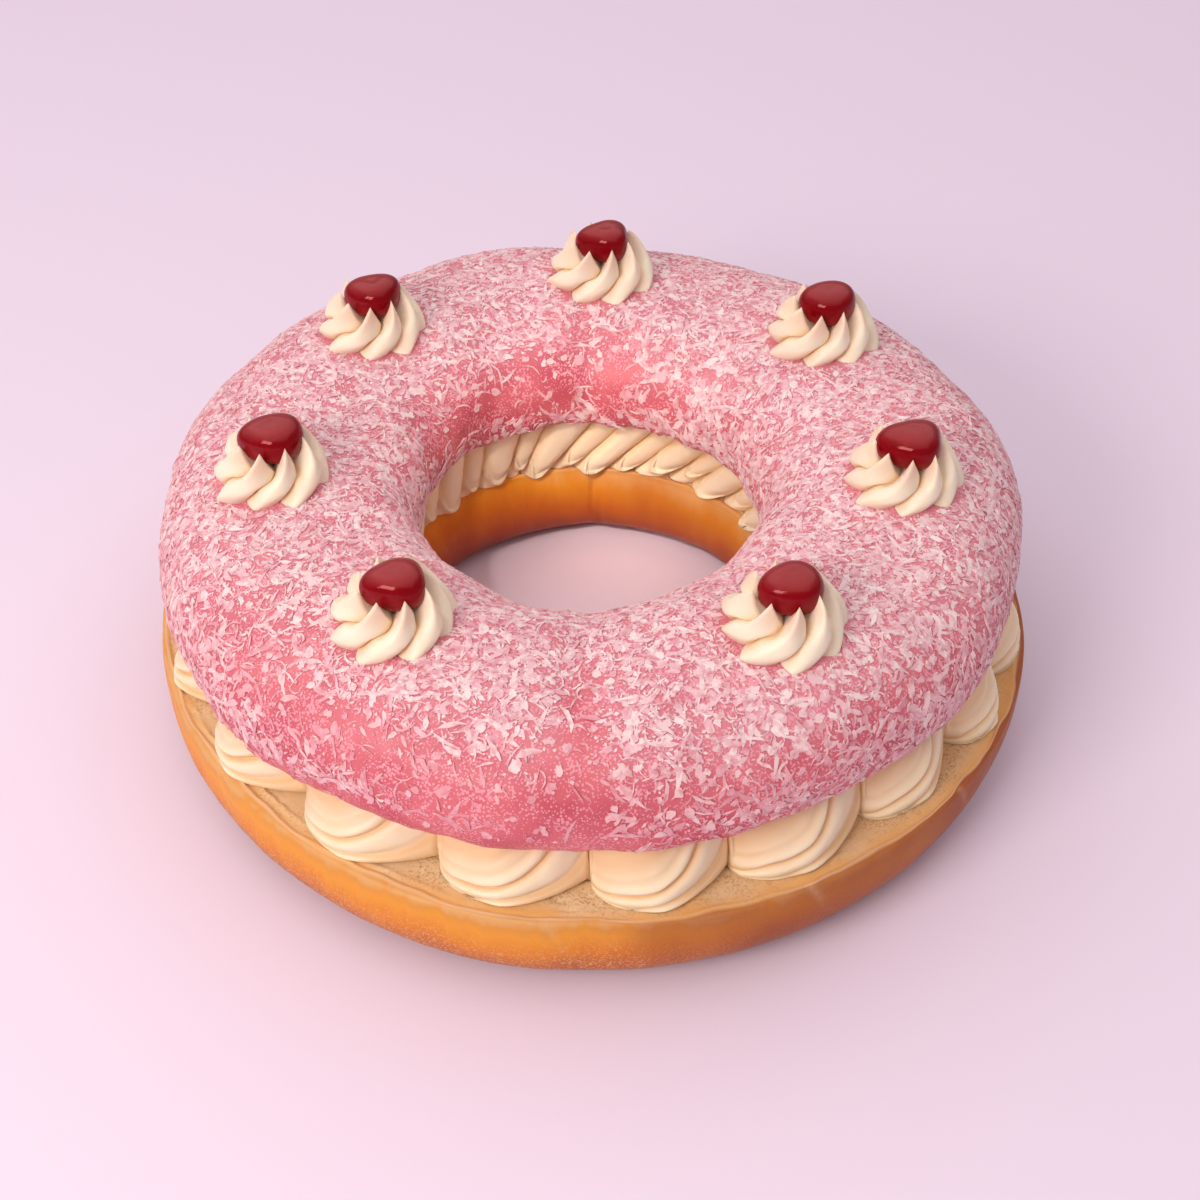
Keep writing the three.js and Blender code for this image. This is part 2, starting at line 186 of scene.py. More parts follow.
def new_object(name, data):
    """An object of the scene that holds that mesh, camera or light."""
    made = bpy.data.objects.new(name, data)
    bpy.context.scene.collection.objects.link(made)
    return made


def mesh_piece(name, points, faces, attributes=None, smooth=True):
    """An object at the origin from points in millimetres and an array of faces with equally many corners."""
    mesh = bpy.data.meshes.new(name)
    mesh.vertices.add(len(points))
    mesh.vertices.foreach_set("co", (points * MM).astype(np.float32).ravel())
    mesh.loops.add(faces.size)
    mesh.loops.foreach_set("vertex_index", faces.astype(np.int32).ravel())
    mesh.polygons.add(len(faces))
    mesh.polygons.foreach_set("loop_start", np.arange(0, faces.size, faces.shape[1], dtype=np.int32))
    mesh.polygons.foreach_set("use_smooth", np.full(len(faces), smooth))
    for key, values in (attributes or {}).items():
        layer = mesh.attributes.new(key, "FLOAT", "POINT")
        layer.data.foreach_set("value", np.asarray(values, np.float32).ravel())
    mesh.update(calc_edges=True)
    return new_object(name, mesh)


def ring_piece(name, points, attributes=None):
    """A closed ring from a grid of points: rows go round its section and columns round the ring, and both
    close on themselves."""
    rows, columns = points.shape[:2]
    numbers = np.arange(rows * columns).reshape(rows, columns)
    beside = np.roll(numbers, -1, 1)
    faces = np.stack([numbers, beside, np.roll(beside, -1, 0), np.roll(numbers, -1, 0)], -1)
    values = {key: np.broadcast_to(value, (rows, columns)) for key, value in (attributes or {}).items()}
    return mesh_piece(name, points.reshape(-1, 3), faces.reshape(-1, 4), values)


def shell_piece(name, points, attributes=None):
    """A closed shell from a grid of points: columns go round it, rows go up it, and its first and last rows
    are each drawn together into one pole."""
    rows, columns = points.shape[:2]
    inside = np.arange((rows - 2) * columns).reshape(rows - 2, columns)
    beside = np.roll(inside, -1, 1)
    lower = np.stack([inside[:-1], beside[:-1], beside[1:]], -1).reshape(-1, 3)
    upper = np.stack([inside[:-1], beside[1:], inside[1:]], -1).reshape(-1, 3)
    bottom = np.full(columns, inside.size)
    top = bottom + 1
    caps = [np.stack([bottom, beside[0], inside[0]], -1), np.stack([inside[-1], beside[-1], top], -1)]

    def with_poles(grid):
        """The inner rows of a grid as one list, and after them the means of its first and last rows."""
        ends = [grid[0].mean(0, keepdims=True), grid[-1].mean(0, keepdims=True)]
        return np.concatenate([grid[1:-1].reshape(-1, *grid.shape[2:]), *ends])

    values = {key: with_poles(np.broadcast_to(value, (rows, columns)))
              for key, value in (attributes or {}).items()}
    return mesh_piece(name, with_poles(points), np.concatenate([lower, upper, *caps]), values)


def finished(piece, material, slot, *nodes):
    """Gives a piece its material and makes it stand for its solids. Its slot is not used."""
    piece.data.materials.append(material)
    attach(piece, "root")
    if nodes:
        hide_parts(*nodes)


# ---- Lower half: fried dough with a cut face ----

CRUST = Sizes(
    columns=700, wall_rows=33, lean_rows=11, bend_rows=8,
    inner_wall_rows=25, inner_lean_rows=9, floor_rows=5,
    cut_rows=[(27, 0, 0.2), (8, 0.2, 0.86), (10, 0.86, 1)],  # across the cut, close at both of its edges
    shoulder=1.3, drop=1.0,  # the soft outer edge of the cut: inwards and down
    inner_shoulder=0.6,  # the inner edge of the cut is that much tighter
    lip=0.55, lip_width=0.6,  # the thin fold of skin that stands along the cut
    second_lip=3.0, second_lip_azimuth=radians(-138), second_lip_width=radians(32),  # another, further in
    crumb_edge=120.5,  # outside this radius the cut face is smooth and golden, inside it shows pores
    creases=[(-93.2, 0.9), (-62, 1.0), (-141, 1.0), (-37, 1.1)],  # short upright creases: azimuth and width
    crease_depth=0.5,
    hole_crease=radians(89), hole_crease_width=1.5, hole_crease_depth=1.3,  # at the back of the hole
)


def wobble(azimuth):
    """How far the outer wall stands out, as a sum of two slow waves round the ring."""
    return 0.6 * np.cos(2 * azimuth + 2.8) + 0.4 * np.cos(4 * azimuth + 0.8)


def cut_height(radius, azimuth):
    """Height of the sloping cut plane at a place."""
    x = radius * np.cos(azimuth)
    y = radius * np.sin(azimuth)
    return CUT.height + CUT.slope_x * x + CUT.slope_y * y


def dough_ring():
    """The lower half. Its section goes round two quarter ellipses from the flat bottom to the widest points,
    on along slower ellipses to a soft shoulder, and across the cut plane between the two shoulders. A thin
    fold of skin stands along the outer shoulder. Noise along the surface's normal gives the hand-formed
    swellings, the shallow wrinkles of the crust and the open crumb."""
    azimuth = round_ring(CRUST.columns)[None, :]
    circle = at(SAMPLE_RADIUS, azimuth, 0)
    seam = SEAM.depth * bell(from_seam(azimuth), SEAM.width)
    outer_reach = BASE.wall_outer - BASE.bottom_outer + wobble(azimuth) - seam
    inner_reach = BASE.bottom_inner - BASE.wall_inner - seam
    wander = noise(circle, 9, 1) + 0.5 * noise(circle, 4, 2)
    shoulder = CRUST.shoulder * (1 + 0.5 * wander)
    drop = CRUST.drop * (1 + 0.3 * noise(circle, 12, 3))
    outer_cut = cut_height(BASE.wall_outer, azimuth)
    inner_cut = cut_height(BASE.wall_inner, azimuth)
    outer_lean = np.arcsin((outer_cut - drop - BASE.wall_outer_height) / BASE.outer_rise)
    inner_lean = np.arcsin((inner_cut - drop - BASE.wall_inner_height) / BASE.inner_rise)

    low = even(CRUST.wall_rows + 1, -np.pi / 2, 0)[:-1, None]
    high = even(CRUST.lean_rows + 1)[:-1, None] * outer_lean
    bend = even(CRUST.bend_rows + 1, 0, np.pi / 2)[:-1, None]
    outer_top = BASE.bottom_outer + outer_reach * np.cos(outer_lean)
    inner_top = BASE.bottom_inner - inner_reach * np.cos(inner_lean)
    cut_outer = outer_top - shoulder
    cut_inner = inner_top + CRUST.inner_shoulder * shoulder
    across = np.unique(np.concatenate([even(*span) for span in CRUST.cut_rows]))[:, None]
    cut_radius = lerp(cut_outer, cut_inner, across)
    from_edge = cut_outer - cut_radius
    fold = 0.6 + 1.0 * noise(circle, 24, 10) + 0.5 * noise(circle, 7, 11)
    inner_fold = fold + CRUST.second_lip + noise(circle, 10, 12)
    left_side = bell(apart(azimuth, CRUST.second_lip_azimuth), CRUST.second_lip_width)
    lip_mark = bell(from_edge - fold, CRUST.lip_width)
    lip_mark = lip_mark + left_side * bell(from_edge - inner_fold, CRUST.lip_width)
    lip = CRUST.lip * lip_mark * (1 + 0.5 * wander)
    inner_bend = bend[::-1]
    inner_high = even(CRUST.inner_lean_rows + 1)[::-1, None][1:] * inner_lean
    inner_low = even(CRUST.inner_wall_rows + 1, 0, -np.pi / 2)[1:, None]
    floor = even(CRUST.floor_rows + 2)[1:-1, None]

    def rows(radius, height, crumb, inside, mark=0):
        """Rows of the section: radius, height, how much is crumb or inner wall, and the fold's mark."""
        return np.stack(np.broadcast_arrays(radius, height, crumb, inside, azimuth, mark), -1)

    section = np.concatenate([
        rows(BASE.bottom_outer + outer_reach * np.cos(low),
             BASE.wall_outer_height * (1 + np.sin(low)), 0, 0),
        rows(BASE.bottom_outer + outer_reach * np.cos(high),
             BASE.wall_outer_height + BASE.outer_rise * np.sin(high), 0, 0),
        rows(cut_outer + shoulder * np.cos(bend),
             cut_height(outer_top, azimuth) - drop * (1 - np.sin(bend)), 0, 0),
        rows(cut_radius, cut_height(cut_radius, azimuth) + lip,
             smooth_step(0.2, 0.9, from_edge) * smooth_step(0, 0.8, cut_radius - cut_inner),
             across, lip_mark),
        rows(cut_inner - CRUST.inner_shoulder * shoulder * np.cos(inner_bend),
             cut_height(inner_top, azimuth) - drop * (1 - np.sin(inner_bend)), 0, 1),
        rows(BASE.bottom_inner - inner_reach * np.cos(inner_high),
             BASE.wall_inner_height + BASE.inner_rise * np.sin(inner_high), 0, 1),
        rows(BASE.bottom_inner - inner_reach * np.cos(inner_low),
             BASE.wall_inner_height * (1 + np.sin(inner_low)), 0, 1),
        rows(lerp(BASE.bottom_inner, BASE.bottom_outer, floor), 0, 0, 1 - floor),
    ])
    radius, height, crumb, inside, around, fold_mark = np.moveaxis(section, -1, 0)
    points = at(radius, around, height)
    standing = smooth_step(0.5, 5, height)
    swelling = 0.45 * noise(points, 26, 4) + 0.2 * noise(points, 9, 5)
    wrinkles = 0.22 * noise(points * [1, 1, 0.35], 4.2, 6) * smooth_step(-0.1, 0.6, noise(points, 30, 7))
    open_crumb = smooth_step(CRUST.crumb_edge + 2, CRUST.crumb_edge - 1, radius)
    pores = -0.5 * smooth_step(0.25, 0.7, noise(points, 1.5, 8)) * open_crumb
    height_share = height / cut_height(radius, around)
    upright = 0
    for crease_azimuth, crease_width in CRUST.creases:
        bent = apart(around + 0.004 * (height - 20), radians(crease_azimuth))
        upright = upright + bell(bent * BASE.wall_outer, crease_width)
    upright = upright * (inside < 0.01) * (1 - crumb) * smooth_step(0.45, 0.7, height_share)
    upright = upright * (0.6 + 0.6 * noise(points, 3, 14))
    in_hole = apart(around + 0.03 * noise(points, 7, 13), CRUST.hole_crease) * BASE.wall_inner
    in_hole = bell(in_hole, CRUST.hole_crease_width) * (inside > 0.99) * smooth_step(0.1, 0.4, height_share)
    creases = CRUST.crease_depth * upright + CRUST.hole_crease_depth * in_hole
    relief = (1 - crumb) * standing * (swelling + wrinkles - creases)
    relief = relief + crumb * (0.15 * noise(points, 5, 9) + pores)
    # skin_fold_and_crease_highlight: the pale fold of skin along the cut, and a painted highlight along the
    # upright creases.
    return ring_piece("fried_dough_ring", pushed(points, relief), {
        "crumb": crumb, "inside": inside, "height_share": height_share,
        "skin_fold_and_crease_highlight": np.clip(0.8 * fold_mark + 0.3 * upright, 0, 1)})


# ---- Filling: piped swirls, with slanting ribs towards the hole ----

SWIRL = Sizes(
    columns=52, low_rows=8, bright_rows=14, face_rows=24, flat_rows=3, rib_rows=18, toe_rows=28,
    toe_share=0.36,  # the share of the filling's height that the toes' rows cover
    slant=radians(3.5), lean=radians(17),  # how far all ribs slant, and how much more those at the right
)


def ridge(share, lean=0.0, power=2.4):
    """The profile of one piped ridge from crease to crease: 1 - |2t - 1|^power, where lean moves its crest
    towards the end or, when negative, towards the start."""
    moved = share + lean * share * (share - 1)
    return 1 - np.abs(2 * moved - 1) ** power


def cream_valleys():
    """Azimuths between two swirls. Those that the photograph shows are given, and the rest are even."""
    given = radians(np.array(CREAM.valleys))
    return np.append(given, even(CREAM.even_swirls + 1, given[-1], given[0] + TURN)[1:])


def swirl_outline(share):
    """A swirl's outline from above, 0 at its ends and 1 at its crest: a quarter ellipse on the left, and a
    longer, straighter flank on the right."""
    left = np.clip(1 - share / CREAM.crest_share, 0, 1)
    right = np.clip((share - CREAM.crest_share) / (1 - CREAM.crest_share), 0, 1)
    return np.sqrt(1 - left ** 2) * (1 - right ** CREAM.flank_bend)


def swirl_creases(share, start):
    """Height shares of a swirl's two creases, and the upper one's slope. Both start low at its left and rise
    ever steeper: the upper one along a quarter circle, the lower one along a squarer curve that starts
    further right."""
    lower = np.clip((share - 0.3 - start) / (0.7 - start), 0, 1)
    upper = np.clip((share - 0.13 - start) / 0.72, 0, 1)
    low = 0.012 + 0.09 * smooth_step(0.2, 0.55, share) + 0.75 * (1 - (1 - lower ** 2.6) ** (1 / 2.6))
    high = 0.05 + 0.12 * smooth_step(0, 0.25, share) + 1 - np.sqrt(1 - upper ** 2)
    slope = upper / np.sqrt(1.02 - upper ** 2) / 0.72
    return low, np.clip(high, low + 0.04, 0.985), slope


def cream_ring():
    """The filling. On each swirl's outer wall, two creases sweep up to the right between three ridges: a low
    one that stands out by the ledge, a broad bright one above it, and a hollow face with faint rings. Each
    ridge bulges by ridge(), and the wall tucks in at the foot and under the pink half. Towards the hole
    stand wide slanting ribs, and between them narrow ones that stand out less. Each ends in a rounded toe,
    and the toes at the right are ragged."""
    valleys = cream_valleys()
    swirls = len(valleys) - 1
    draw = np.random.default_rng(11)

    def per_swirl(values):
        """One value for each swirl, at all of its columns, and 0 for the swirls that aren't given one."""
        return np.repeat(np.append(values, np.zeros(swirls - len(values))), SWIRL.columns + 1)[None, :]

    vary = {key: per_swirl(draw.uniform(-1, 1, swirls)) for key in ("crest", "depth", "lean")}
    column = np.tile(even(SWIRL.columns + 1), swirls)[None, :]
    left = per_swirl(valleys[:-1])
    width = per_swirl(np.diff(valleys)) - radians(0.2)
    share = (1 - np.cos(np.pi * column)) / 2
    azimuth = left + width * share

    set_back = per_swirl(CREAM.set_back)
    start = per_swirl(CREAM.start)
    crest = CREAM.crest - set_back + CREAM.crest_aside * np.cos(azimuth) ** 2 + 0.4 * vary["crest"]
    plan = CREAM.valley + (crest - CREAM.valley) * swirl_outline(share)
    low, high, slope = swirl_creases(share, start)
    tall = TOP.edge_height - CUT.height
    slope = slope * tall / (width * CREAM.crest)
    depth = CREAM.ridge_depth * (1 + 0.12 * vary["depth"])
    depth = depth * np.minimum(1, 0.25 + (high - low) * tall / 5)
    ends = smooth_step(0, 0.03, share) * smooth_step(1, 0.97, share)

    # The outer wall's rows, from the foot up.
    in_low = even(SWIRL.low_rows + 1)[:-1, None]
    in_bright = even(SWIRL.bright_rows + 1)[:-1, None]
    in_face = even(SWIRL.face_rows)[:, None] ** 1.3
    outer_share = np.concatenate([in_low * low, lerp(low, high, in_bright), lerp(high, 1, in_face)])
    from_crease = (lerp(high, 1, in_face) - high) * tall / np.sqrt(1 + slope ** 2)
    low_relief = (1 - (1 + CREAM.ledge) * ridge(in_low, lean=-0.4)) * smooth_step(0.3, 0.55, share)
    bright_relief = depth * (1 - ridge(in_bright, lean=-0.2, power=2.8))
    bright_relief = np.where(in_bright < 0.4, 0.4 * bright_relief, bright_relief)
    rings = [bell(from_crease - distance, ring_width)
             for distance, ring_width in zip(CREAM.ring_distances, CREAM.ring_widths)]
    face_relief = 0.5 + (depth - 0.5) * np.clip(1 - from_crease / 2.2, 0, 1) ** 1.4
    for ring, ring_depth in zip(rings, CREAM.ring_depths):
        face_relief = face_relief + ring_depth * ring
    face_relief = face_relief + 1.8 * smooth_step(1, 9, from_crease)
    tuck = np.where(outer_share < CREAM.waist,
                    CREAM.foot * (1 - outer_share / CREAM.waist) ** 2,
                    CREAM.shoulder * ((outer_share - CREAM.waist) / (1 - CREAM.waist)) ** 2)
    outer_radius = plan - tuck - np.concatenate([low_relief, bright_relief, face_relief]) * ends
    outer_turn = radians(1.0) * vary["lean"] * (outer_share - 0.4)

    # The inner wall, from the top down.
    split = CREAM.wide_rib + 0.07 * vary["depth"]
    wide = column < split
    in_rib = np.where(wide, column / split, (column - split) / (1 - split))
    reach = CREAM.inner_valley - CREAM.inner_crest
    rib_out = reach * np.where(wide, 1, CREAM.narrow_rib) * ridge(in_rib, lean=0.3, power=2.8) ** 0.75
    inner_share = np.concatenate([even(SWIRL.rib_rows + 1, 1, SWIRL.toe_share)[:-1],
                                  even(SWIRL.toe_rows, SWIRL.toe_share, 0)])[:, None]
    torn = bell(apart(azimuth, CREAM.torn_azimuth), CREAM.torn_width)
    ragged = (0.04 + 0.08 * torn) * np.sin(2.4 * wide + left * 31)
    toe = np.where(wide, 0.06, 0.16) + 0.24 * np.abs(2 * in_rib - 0.9) ** 2.4 + ragged
    below_toe = smooth_step(0.0, 0.14, toe - inner_share)
    rounding = bell(inner_share - toe, 0.12) * (inner_share > toe)
    inner_radius = CREAM.inner_valley - rib_out * (1 - 0.45 * rounding) + 2.6 * below_toe
    even_turn = width * (column - share)
    at_right = smooth_step(radians(128), radians(84), azimuth) * smooth_step(radians(-60), 0, azimuth)
    slant = SWIRL.slant + SWIRL.lean * at_right
    inner_turn = even_turn + slant * (0.5 - inner_share)

    def level(radius, share_up, turn):
        """Points between the lower half's cut plane and the upper half's underside."""
        place = azimuth + turn
        bottom = cut_height(radius, place) + CREAM.gap
        top = top_edge(radius * np.cos(place)) - CREAM.gap
        return at(radius, place, lerp(bottom, top, share_up))

    def bridge(wall, next_wall, share_up):
        """The hidden flat rows from one wall's last row to the other wall's first."""
        over = even(SWIRL.flat_rows + 2)[1:-1, None]
        radius, turn = [lerp(last[-1:], first[:1], over) for last, first in zip(wall, next_wall)]
        return level(radius, share_up, turn)

    outer = (outer_radius, outer_turn)
    inner = (inner_radius, inner_turn)
    points = np.concatenate([
        level(outer_radius, outer_share, outer_turn), bridge(outer, inner, 1),
        level(inner_radius, inner_share, inner_turn), bridge(inner, outer, 0),
    ])
    relief = 0.12 * noise(points, 5, 21) + 0.05 * noise(points, 1.6, 22)
    # Painted shade, carried by the crease_shade attribute: tan in and beside the creases, over the low ridge
    # that faces down and away from the light, over the hollow face under the upper half's overhang, and in
    # the gaps between the inner ribs.
    low_band_shade = 0.7 * smooth_step(0.4, 0.7, share) + smooth_step(0.6, 1, in_low)
    bright_band_shade = 1.4 * bright_relief / CREAM.ridge_depth
    face_shade = bell(from_crease, 1.5) + 0.4 * rings[0] + 0.85 * smooth_step(2, 10, from_crease)
    rib_gap_shade = np.repeat(0.9 * (1 - rib_out / reach), len(inner_share), 0)
    hidden = np.zeros((SWIRL.flat_rows, points.shape[1]))
    crease_shade = np.concatenate([low_band_shade, bright_band_shade, face_shade, hidden, rib_gap_shade, hidden])
    return ring_piece("buttercream_swirls", pushed(points, relief), {"crease_shade": np.clip(crease_shade, 0, 1) ** 1.5})


# ---- Upper half: a dome of dough under pink jelly ----

DOME = Sizes(
    columns=700, rows=118, under_rows=7, edge_wave=0.8,
    under_inset=0.8,  # its underside starts that far within its edges
    droop=1.0, droop_azimuth=radians(-90.7), droop_width=radians(1.6),  # where the jelly hangs lowest
    hang=0.34,  # how many radians the flakes may hang past its two sides
)


def top_edge(x):
    """Height of the upper half's cut face, which slopes a little to one side."""
    return TOP.edge_height + TOP.slope_x * x


def dome_surface(azimuth, angle):
    """Points of the upper half, where angle 0 is its outer wall, 90 degrees its highest line and 180 its
    inner wall. Its section is a superellipse on a flank that bulges out, swollen by a few long waves and by
    noise, with a shallow seam at the front and the back. Its hole is a little pointed at the front."""
    c = np.cos(angle)
    s = np.sin(angle)
    swell = 0.7 * np.sin(3 * azimuth + 1.3) * np.cos(angle - 0.6)
    swell = swell + 0.5 * np.sin(7 * azimuth + 2 * angle) + 0.4 * np.sin(11 * azimuth - 3 * angle + 2)
    out = swell - SEAM.depth * bell(from_seam(azimuth), SEAM.width)
    reach = np.where(c > 0, TOP.outward, TOP.inward - HOLLOW.depth * bell(from_front(azimuth), HOLLOW.width))
    power = np.where(s > 0, 2 / TOP.squareness, 1)
    radius = TOP.middle + reach * signed_power(c, power) + out * c
    above = np.where(s > 0, TOP.rise * np.abs(s) ** (2 / TOP.squareness), TOP.flank_curve * s)
    edge = top_edge(radius * np.cos(azimuth))
    edge_place = at(SAMPLE_RADIUS, azimuth, 2 * SAMPLE_RADIUS * (c > 0))
    wave = DOME.edge_wave * (noise(edge_place, 7, 31) + 0.5 * noise(edge_place, 2.6, 34))
    wave = wave - DOME.droop * bell(apart(azimuth, DOME.droop_azimuth), DOME.droop_width) * (c > 0)
    wave = wave * smooth_step(0.1, -0.2, s)
    points = at(radius, azimuth, edge + TOP.flank + above + out * np.maximum(s, 0) + wave)
    lumps = 0.3 * noise(points, 11, 32) + 0.22 * noise(points, 4.5, 33)
    outward = unit(at(c, azimuth, s))
    return points + outward * lumps[..., None] + [TOP.offset_x, 0, 0]


def dome_frame(azimuth, angle):
    """At places of the dome: the point, the outward normal, and how many millimetres one radian of azimuth
    and one of angle cover, from small steps along both."""
    step = 0.004
    here = dome_surface(azimuth, angle)
    round_step = (dome_surface(azimuth + step, angle) - here) / step
    rise_step = (dome_surface(azimuth, angle + step) - here) / step
    return Sizes(point=here, normal=unit(np.cross(round_step, rise_step)),
                 per_azimuth=np.linalg.norm(round_step, axis=-1),
                 per_angle=np.linalg.norm(rise_step, axis=-1))


def jelly_dome():
    """The upper half: dome_surface() from its outer edge over the top to its inner edge, and then back under
    it along the cut plane."""
    azimuth = round_ring(DOME.columns)[None, :]
    flank = np.arcsin(TOP.flank / TOP.flank_curve)
    angle = even(DOME.rows, -flank, np.pi + flank)[:, None]
    shell = dome_surface(azimuth, angle)
    back = even(DOME.under_rows + 2)[1:-1, None]
    radius = np.linalg.norm(shell[[-1, 0], :, :2] + [-TOP.offset_x, 0], axis=-1)
    under_radius = lerp(radius[:1] + DOME.under_inset, radius[1:] - DOME.under_inset, back)
    under = at(under_radius, azimuth, top_edge(under_radius * np.cos(azimuth))) + [TOP.offset_x, 0, 0]
    dusting = coat(azimuth, angle) ** 1.5 * smooth_step(-0.1, 0.8, np.sin(angle))
    dusting = np.concatenate([dusting, np.zeros((DOME.under_rows, DOME.columns))])
    return ring_piece("pink_jelly_dome", np.concatenate([shell, under]), {"dusting": dusting})


# ---- Rosettes and cherries ----

def rosette_centres():
    """Where each rosette stands: on the upper half's highest line."""
    azimuth = radians(np.array(ROSETTE.azimuths))
    x = ROSETTE.ring_radii * np.cos(azimuth) + TOP.offset_x
    y = ROSETTE.ring_radii * np.sin(azimuth)
    return np.stack([x, y, top_edge(x) + TOP.flank + TOP.rise], -1)


def ground_under(x, y):
    """How far the dome lies below its highest line at a place, from the superellipse of its section."""
    radius = np.hypot(x - TOP.offset_x, y)
    side = np.clip(np.abs(radius - TOP.middle) / TOP.outward, 0, 0.98)
    return TOP.rise * ((1 - side ** TOP.squareness) ** (1 / TOP.squareness) - 1)


def rosette(index, centre):
    """A star-nozzle rosette. Its radius narrows by a power of its height, times a lobe that is a lopsided
    tooth at the foot and full and round above, and it turns as it rises. The lobes end in claws that stand
    round the cherry, and the surface then dips into a bowl under it."""
    lobe = np.tile((1 - np.cos(np.pi * even(ROSETTE.lobe_columns + 1)[:-1])) / 2, ROSETTE.lobes)[None, :]
    number = np.repeat(np.arange(ROSETTE.lobes), ROSETTE.lobe_columns)[None, :]
    uneven = 1 + 0.04 * np.sin(number * 2.1 + index * 1.7)
    rise = np.concatenate([even(ROSETTE.foot_rows + 1, -ROSETTE.foot, 0)[:-1], even(ROSETTE.rows)])[:, None]
    up = np.maximum(rise, 0)
    point = 0.8 * smooth_step(0.5, 0, up)
    across = np.abs(2 * lobe - 1)
    peak = 0.3 + 0.08 * np.sin(number * 1.3 + index)
    tooth = np.where(lobe < peak, (lobe / peak) ** 0.85, ((1 - lobe) / (1 - peak)) ** 0.8)
    body = lerp((1 - across ** 2.6) ** 0.56, tooth, point)
    sunk = np.where(rise < 0, 1 - 0.25 * (rise / ROSETTE.foot) ** 2, 1)
    out = (1 - ROSETTE.narrowing * up ** 2.2) * sunk + 0.02 * point * tooth
    radius = ROSETTE.radius * uneven * out * (ROSETTE.valley + (1 - ROSETTE.valley) * body)
    claw = lerp(ROSETTE.claw_low, ROSETTE.claw_high, 1 - across) * smooth_step(0.4, 1, up)
    height = rise * ROSETTE.height + claw
    turn = index + number * TURN / ROSETTE.lobes + lobe * TURN / ROSETTE.lobes + ROSETTE.twist * up

    def with_bowl(grid, ending):
        """The rows of a grid, with a first row under the foot and the bowl's rows after them."""
        return np.concatenate([grid[:1], grid, ending])

    bowl = even(ROSETTE.bowl_rows + 1)[1:, None]
    radius = with_bowl(radius, radius[-1:] * (1 - bowl))
    radius[0] = 0
    height = with_bowl(height, lerp(height[-1:], ROSETTE.bowl, bowl ** 0.6))
    turn = with_bowl(turn, np.repeat(turn[-1:], ROSETTE.bowl_rows, 0))
    points = at(radius, turn, height)
    ground = ground_under(points[..., 0] + centre[0], points[..., 1] + centre[1])
    follow = smooth_step(0.8, 0, height / ROSETTE.height)
    points[..., 2] += ground * follow
    cherry_stain = smooth_step(0.62, 1.0, height / ROSETTE.height) * bell(points[..., 0], 14)
    # Painted shade in the grooves between the lobes, carried by the crease_shade attribute.
    crease_shade = 0.7 * np.clip(1 - 2.6 * (1 - across), 0, 1) ** 1.5 * smooth_step(0, 0.2, up)
    crease_shade = with_bowl(crease_shade, np.repeat(crease_shade[-1:], ROSETTE.bowl_rows, 0))
    points = points + centre
    points[..., :2] += 0.12 * np.stack([noise(points, 5, 41), noise(points, 5, 42)], -1)
    return shell_piece(f"piped_rosette_{index + 1}", points, {
        "cherry_stain": cherry_stain, "crease_shade": crease_shade})


def cherry(index, centre):
    """A glace cherry: a superellipsoid with three soft corners, a wave of three crests round it, and with a
    sunken, sloping top. Each is turned and sized its own way."""
    around = round_ring(CHERRY.columns)[None, :]
    up = np.sin(even(CHERRY.rows, -np.pi / 2, np.pi / 2))[:, None]
    corner = CHERRY.corner_azimuth + 0.25 * np.sin(5 * index)
    corners = CHERRY.corners * (1 + 0.6 * np.sin(3 * index + 1))
    size = 1 + CHERRY.size_spread * np.sin(2 * index + 4)
    power = 2 / CHERRY.squareness
    level = np.maximum(0, 1 - up ** 2) ** (power / 2)
    plan = level * (1 + corners * np.cos(3 * (around - corner)))
    x = size * CHERRY.width / 2 * plan * np.cos(around)
    y = size * CHERRY.deep / 2 * plan * np.sin(around)
    sunk = CHERRY.dent * np.maximum(0, up) * (1 - level) ** 2
    z = CHERRY.tall / 2 * signed_power(up, power) - sunk
    z = z + smooth_step(-1, 1, up) * (0.09 * x + 0.04 * y * np.sin(3 * index))
    points = np.stack(np.broadcast_arrays(x, y, z), -1)
    points = points * (1 + 0.035 * noise(points, 6.5, 50 + index))[..., None]
    place = centre + [CHERRY.rightward, 0, CHERRY.centre]
    # painted_top_sheen marks the upper part, where the overhead light's reflection is painted into the
    # colour.
    return shell_piece(f"glace_cherry_{index + 1}", points + place, {"painted_top_sheen": smooth_step(0.5, 0.95, up)})


# ---- Coconut ----

# Where the coat is thin: azimuth and angle on the dome, how far each way, and the share that is missing.
THIN_PATCHES = [
    (-90.5, 14, 4.2, 42, 1.0),  # the front seam
    (-98, 12, 10, 30, 0.76),  # front, left of the seam
    (-112, 26, 13, 24, 0.66),  # the left flank
    (-130, 34, 16, 22, 0.58),
    (-138, 62, 14, 24, 0.35),
    (-79, 20, 8, 18, 0.5),  # right of the seam
    (-62, 18, 12, 16, 0.4),
    (-47, 30, 14, 14, 0.35),
    (118, 160, 22, 24, 0.7),  # inside, left of the back
    (142, 162, 18, 20, 0.5),
    (80, 158, 7, 26, 1.0),  # the back slope, towards the hole
    (97, 164, 12, 22, 0.8),
    (63, 164, 10, 22, 0.6),
    (122, 166, 18, 20, 0.55),
    (145, 172, 22, 18, 0.5),
    (92, 125, 6, 18, 0.45),
    (-90.5, 70, 3.0, 30, 0.7),  # the upper end of the front seam
]
COATED = radians(np.array([-14.5, 193.0]))  # the coat's range of angles
CLEAN_LIP = Sizes(azimuth=radians(-108), width=radians(38), top=radians(2), fade=radians(6))  # the bare edge


